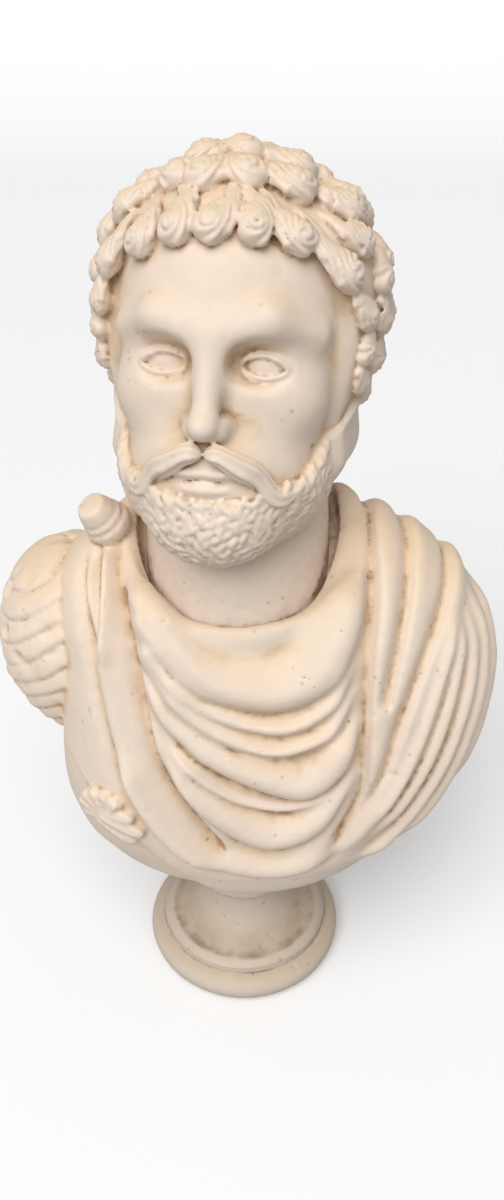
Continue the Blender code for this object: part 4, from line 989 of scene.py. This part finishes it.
class Wiring:
    """Adds nodes to a tree and wires them, each given its inputs by name."""

    def __init__(self, tree):
        self.tree = tree

    def node(self, kind, settings=(), **inputs):
        """A node with its settings, and its inputs by name, or by number after an i."""
        node = self.tree.nodes.new(kind)
        for key, value in dict(settings).items():
            setattr(node, key, value)
        for key, value in inputs.items():
            self.feed(node.inputs[int(key[1:]) if key[1:].isdigit() else key.replace("_", " ")], value)
        return node

    def feed(self, socket, value):
        """Links another node's output to a socket, or else sets its value."""
        if isinstance(value, bpy.types.NodeSocket):
            self.tree.links.new(value, socket)
        else:
            socket.default_value = value

    def maths(self, operation, a, b=0.0):
        """One sum of two numbers."""
        return self.node("ShaderNodeMath", {"operation": operation}, i0=a, i1=b).outputs[0]

    def ramp(self, value, low, high):
        """0 up to low, 1 from high, and a smooth step between."""
        settings = {"interpolation_type": "SMOOTHSTEP"}
        return self.node("ShaderNodeMapRange", settings, Value=value, From_Min=low, From_Max=high).outputs[0]

    def blend(self, factor, a, b, way="MIX"):
        """Two colours mixed by a factor."""
        settings = {"data_type": "RGBA", "blend_type": way}
        return self.node("ShaderNodeMix", settings, i0=factor, i6=a, i7=b).outputs[2]

    def mark(self, name):
        """A mark that the mesh keeps at each point."""
        return self.node("ShaderNodeAttribute", {"attribute_name": name}).outputs["Fac"]

    def speckle(self, place, scale, detail=2.0, rough=0.5):
        """Soft noise, its cells 1 / scale metres across."""
        noise = self.node("ShaderNodeTexNoise", (), Vector=place, Scale=scale, Detail=detail, Roughness=rough)
        return noise.outputs[0]


def stained_stone():
    """The shared finish: a colour from the pale stone, ochre bloom, brown dirt and painted shade in hollows,
    and a normal.
    """
    group = bpy.data.node_groups.new("stained_stone", "ShaderNodeTree")
    for name, kind in (("Pale", "Color"), ("Bloom_and_shade", "Color"), ("Dirt_and_shade", "Color"), ("Soiling_and_shade", "Float")):
        group.interface.new_socket(name, in_out="INPUT", socket_type="NodeSocket" + kind)
    group.interface.new_socket("Color", in_out="OUTPUT", socket_type="NodeSocketColor")
    group.interface.new_socket("Normal", in_out="OUTPUT", socket_type="NodeSocketVector")
    wire = Wiring(group)
    given = group.nodes.new("NodeGroupInput")
    result = group.nodes.new("NodeGroupOutput")
    place = wire.node("ShaderNodeTexCoord").outputs["Object"]
    cloud = wire.speckle(place, 9.0, 4.0, 0.6)
    grit = wire.speckle(place, 120.0, 3.0, 0.6)
    near, wide, upward = wire.mark("near_hollow"), wire.mark("wide_hollow"), wire.mark("upward")

    bloom_and_shade = wire.maths("MULTIPLY", wire.ramp(cloud, 0.45, 0.75), 0.25)
    bloom_and_shade = wire.maths("ADD", bloom_and_shade, wire.ramp(upward, 0.30, 1.05))
    # Ochre in the wide hollows: partly patina, partly painted shade where the hollows fall in shadow.
    bloom_and_shade = wire.maths("ADD", bloom_and_shade, wire.maths("MULTIPLY", wire.ramp(wide, 0.02, 0.6), 0.85))
    bloom_and_shade = wire.maths("MINIMUM", bloom_and_shade, 1.0)
    colour = wire.blend(bloom_and_shade, given.outputs["Pale"], given.outputs["Bloom_and_shade"])

    # Wide hollows darkened towards the brown: painted shade in place of occlusion. Near hollows: brown dirt
    # along the creases.
    crevice = wire.maths("MULTIPLY", wire.ramp(wide, 0.12, 0.85), 0.60)
    crevice = wire.maths("ADD", crevice, wire.ramp(near, 0.22, 0.95))
    patchy = wire.maths("ADD", wire.ramp(wire.speckle(place, 34.0, 3.0, 0.65), 0.36, 0.66), 0.2)
    soil_and_shade = wire.maths("MULTIPLY", wire.maths("MULTIPLY", crevice, patchy), given.outputs["Soiling_and_shade"])
    soil_and_shade = wire.maths("MINIMUM", soil_and_shade, 0.92)
    colour = wire.blend(soil_and_shade, colour, given.outputs["Dirt_and_shade"])

    cells = wire.node("ShaderNodeTexVoronoi", {"feature": "F1"}, Vector=place, Scale=95.0)
    cells = cells.outputs["Distance"]
    sparse = wire.ramp(wire.speckle(place, 21.0, 2.0), 0.52, 0.66)
    dots = wire.maths("MULTIPLY", wire.ramp(cells, 0.20, 0.10), sparse)
    colour = wire.blend(wire.maths("MULTIPLY", dots, 0.35), colour, given.outputs["Dirt_and_shade"])
    tone = wire.maths("ADD", wire.maths("MULTIPLY", grit, 0.10), 0.95)
    tone = wire.node("ShaderNodeCombineColor", (), Red=tone, Green=tone, Blue=tone).outputs[0]
    colour = wire.blend(1.0, colour, tone, "MULTIPLY")

    relief = wire.maths("MULTIPLY", wire.speckle(place, 420.0, 2.0), 0.25)
    relief = wire.maths("ADD", relief, wire.maths("MULTIPLY", grit, 0.5))
    relief = wire.maths("SUBTRACT", relief, dots)
    bump = wire.node("ShaderNodeBump", (), Strength=0.35, Distance=0.0006, Height=relief)
    group.links.new(colour, result.inputs["Color"])
    group.links.new(bump.outputs[0], result.inputs["Normal"])
    return group


def stone(name, finish, pale, bloom_and_shade, dirt_and_shade, soiling_and_shade, roughness):
    """A Principled stone that takes its colour and normal from the shared finish."""
    material = bpy.data.materials.new(name)
    material.use_nodes = True
    tree = material.node_tree
    shader = tree.nodes["Principled BSDF"]
    shader.inputs["Roughness"].default_value = roughness
    shader.inputs["Specular IOR Level"].default_value = 0.35
    group = tree.nodes.new("ShaderNodeGroup")
    group.node_tree = finish
    for key, value in (("Pale", pale), ("Bloom_and_shade", bloom_and_shade), ("Dirt_and_shade", dirt_and_shade)):
        group.inputs[key].default_value = (*value, 1.0)
    group.inputs["Soiling_and_shade"].default_value = soiling_and_shade
    tree.links.new(group.outputs["Color"], shader.inputs["Base Color"])
    tree.links.new(group.outputs["Normal"], shader.inputs["Normal"])
    return material


# Floor, light and camera.


def floor():
    """A level floor that sweeps up far behind: z = 1.2 (y - 6)^2 / 20 beyond y = 6."""
    x, y = np.meshgrid(np.linspace(-14, 14, 29), np.linspace(-8, 14, 45))
    z = np.where(y > 6, 0.06 * (y - 6) ** 2, 0.0)
    points = np.stack([x, y, z], axis=-1).reshape(-1, 3)
    i, j = np.meshgrid(np.arange(44), np.arange(28), indexing="ij")
    a = (i * 29 + j).ravel()
    quads = np.stack([a, a + 1, a + 30, a + 29], axis=-1)
    mesh = mesh_from("floor", points, quads, np.zeros((0, 3), int))
    material = bpy.data.materials.new("floor_white")
    material.use_nodes = True
    shader = material.node_tree.nodes["Principled BSDF"]
    shader.inputs["Base Color"].default_value = (0.93, 0.93, 0.93, 1.0)
    shader.inputs["Roughness"].default_value = 0.9
    mesh.materials.append(material)
    piece = add_object("floor", mesh)
    piece.visible_diffuse = False
    piece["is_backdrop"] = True


def lamp(name, position, target, size, watts):
    """A square soft light that faces its target."""
    data = bpy.data.lights.new(name, "AREA")
    data.shape = "SQUARE"
    data.size = size
    data.energy = watts
    piece = add_object(name, data)
    piece.location = position
    aim = np.array(target) - np.array(position)
    tip = math.atan2(math.hypot(aim[0], aim[1]), -aim[2])
    piece.rotation_euler = (tip, 0.0, math.atan2(aim[0], -aim[1]) + math.pi)


def light():
    """Soft studio light: a broad sun from high on the left, a weak fill from the front, and a pale sky."""
    data = bpy.data.lights.new("high_light", "SUN")
    data.energy = 2.4
    data.angle = math.radians(50)
    piece = add_object("high_light", data)
    piece.rotation_euler = (math.radians(36), math.radians(-12), 0.0)
    lamp("fill", (-0.9, -2.0, 1.9), (0.0, 0.0, 0.5), 1.0, 10)
    world = bpy.data.worlds.new("sky")
    world.use_nodes = True
    shade = world.node_tree.nodes["Background"]
    shade.inputs["Color"].default_value = (1.0, 1.0, 1.0, 1.0)
    shade.inputs["Strength"].default_value = 0.36
    bpy.context.scene.world = world


def camera():
    """The photograph's viewpoint: 0.68 m out, 0.84 m up, looking 32 degrees down."""
    data = bpy.data.cameras.new("camera")
    data.sensor_width = 36.0
    data.lens = 27.9
    piece = add_object("camera", data)
    piece.location = (0.008, -0.68, 0.843)
    piece.rotation_euler = (math.radians(90 - 32), 0.0, 0.0)
    bpy.context.scene.camera = piece


def main():
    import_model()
    solid_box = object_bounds()
    finish = stained_stone()
    # brown: the colour of dirt in the creases and of the painted shade in the wide hollows.
    brown = (0.32, 0.20, 0.11)
    marble = stone("bust_stone", finish, (0.765, 0.64, 0.53), (0.72, 0.555, 0.39), brown, 0.75, 0.55)
    brown = (0.25, 0.175, 0.115)
    grey = stone("socle_stone", finish, (0.59, 0.495, 0.41), (0.53, 0.425, 0.32), brown, 0.6, 0.6)

    cloak = cast_shell(body_form, BODY_HEART, 330, 520, 34, cloak_lift)
    body = [cloak, sleeve_shell(), clasp_shell(), *sash_shells()]
    body = fused("draped_body", body, BODY_GRAIN, BODY_FACES)
    placed(worn(body, 170, 11, 0.0007, cloak_dirt), marble, "bust")
    skull = cast_shell(head_form, (0.0, -1.0, 49.5), 420, 540, 22, head_lift)
    head = [neck_shell(), *set_on_neck([skull, *lock_shells(), *tuft_shells(), *moustache_shells()])]
    head = fused("head_and_neck", head, HEAD_GRAIN, HEAD_FACES)
    placed(worn(head, 70, 23, 0.0007, neck_dirt), marble, "bust")
    placed(settled(socle_mesh(), 90, 31), grey, "socle")

    floor()
    light()
    camera()
    bpy.context.scene.view_settings.view_transform = "Standard"
    [[list(map(float, corner)) for corner in box] for box in (solid_box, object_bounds())]


main()
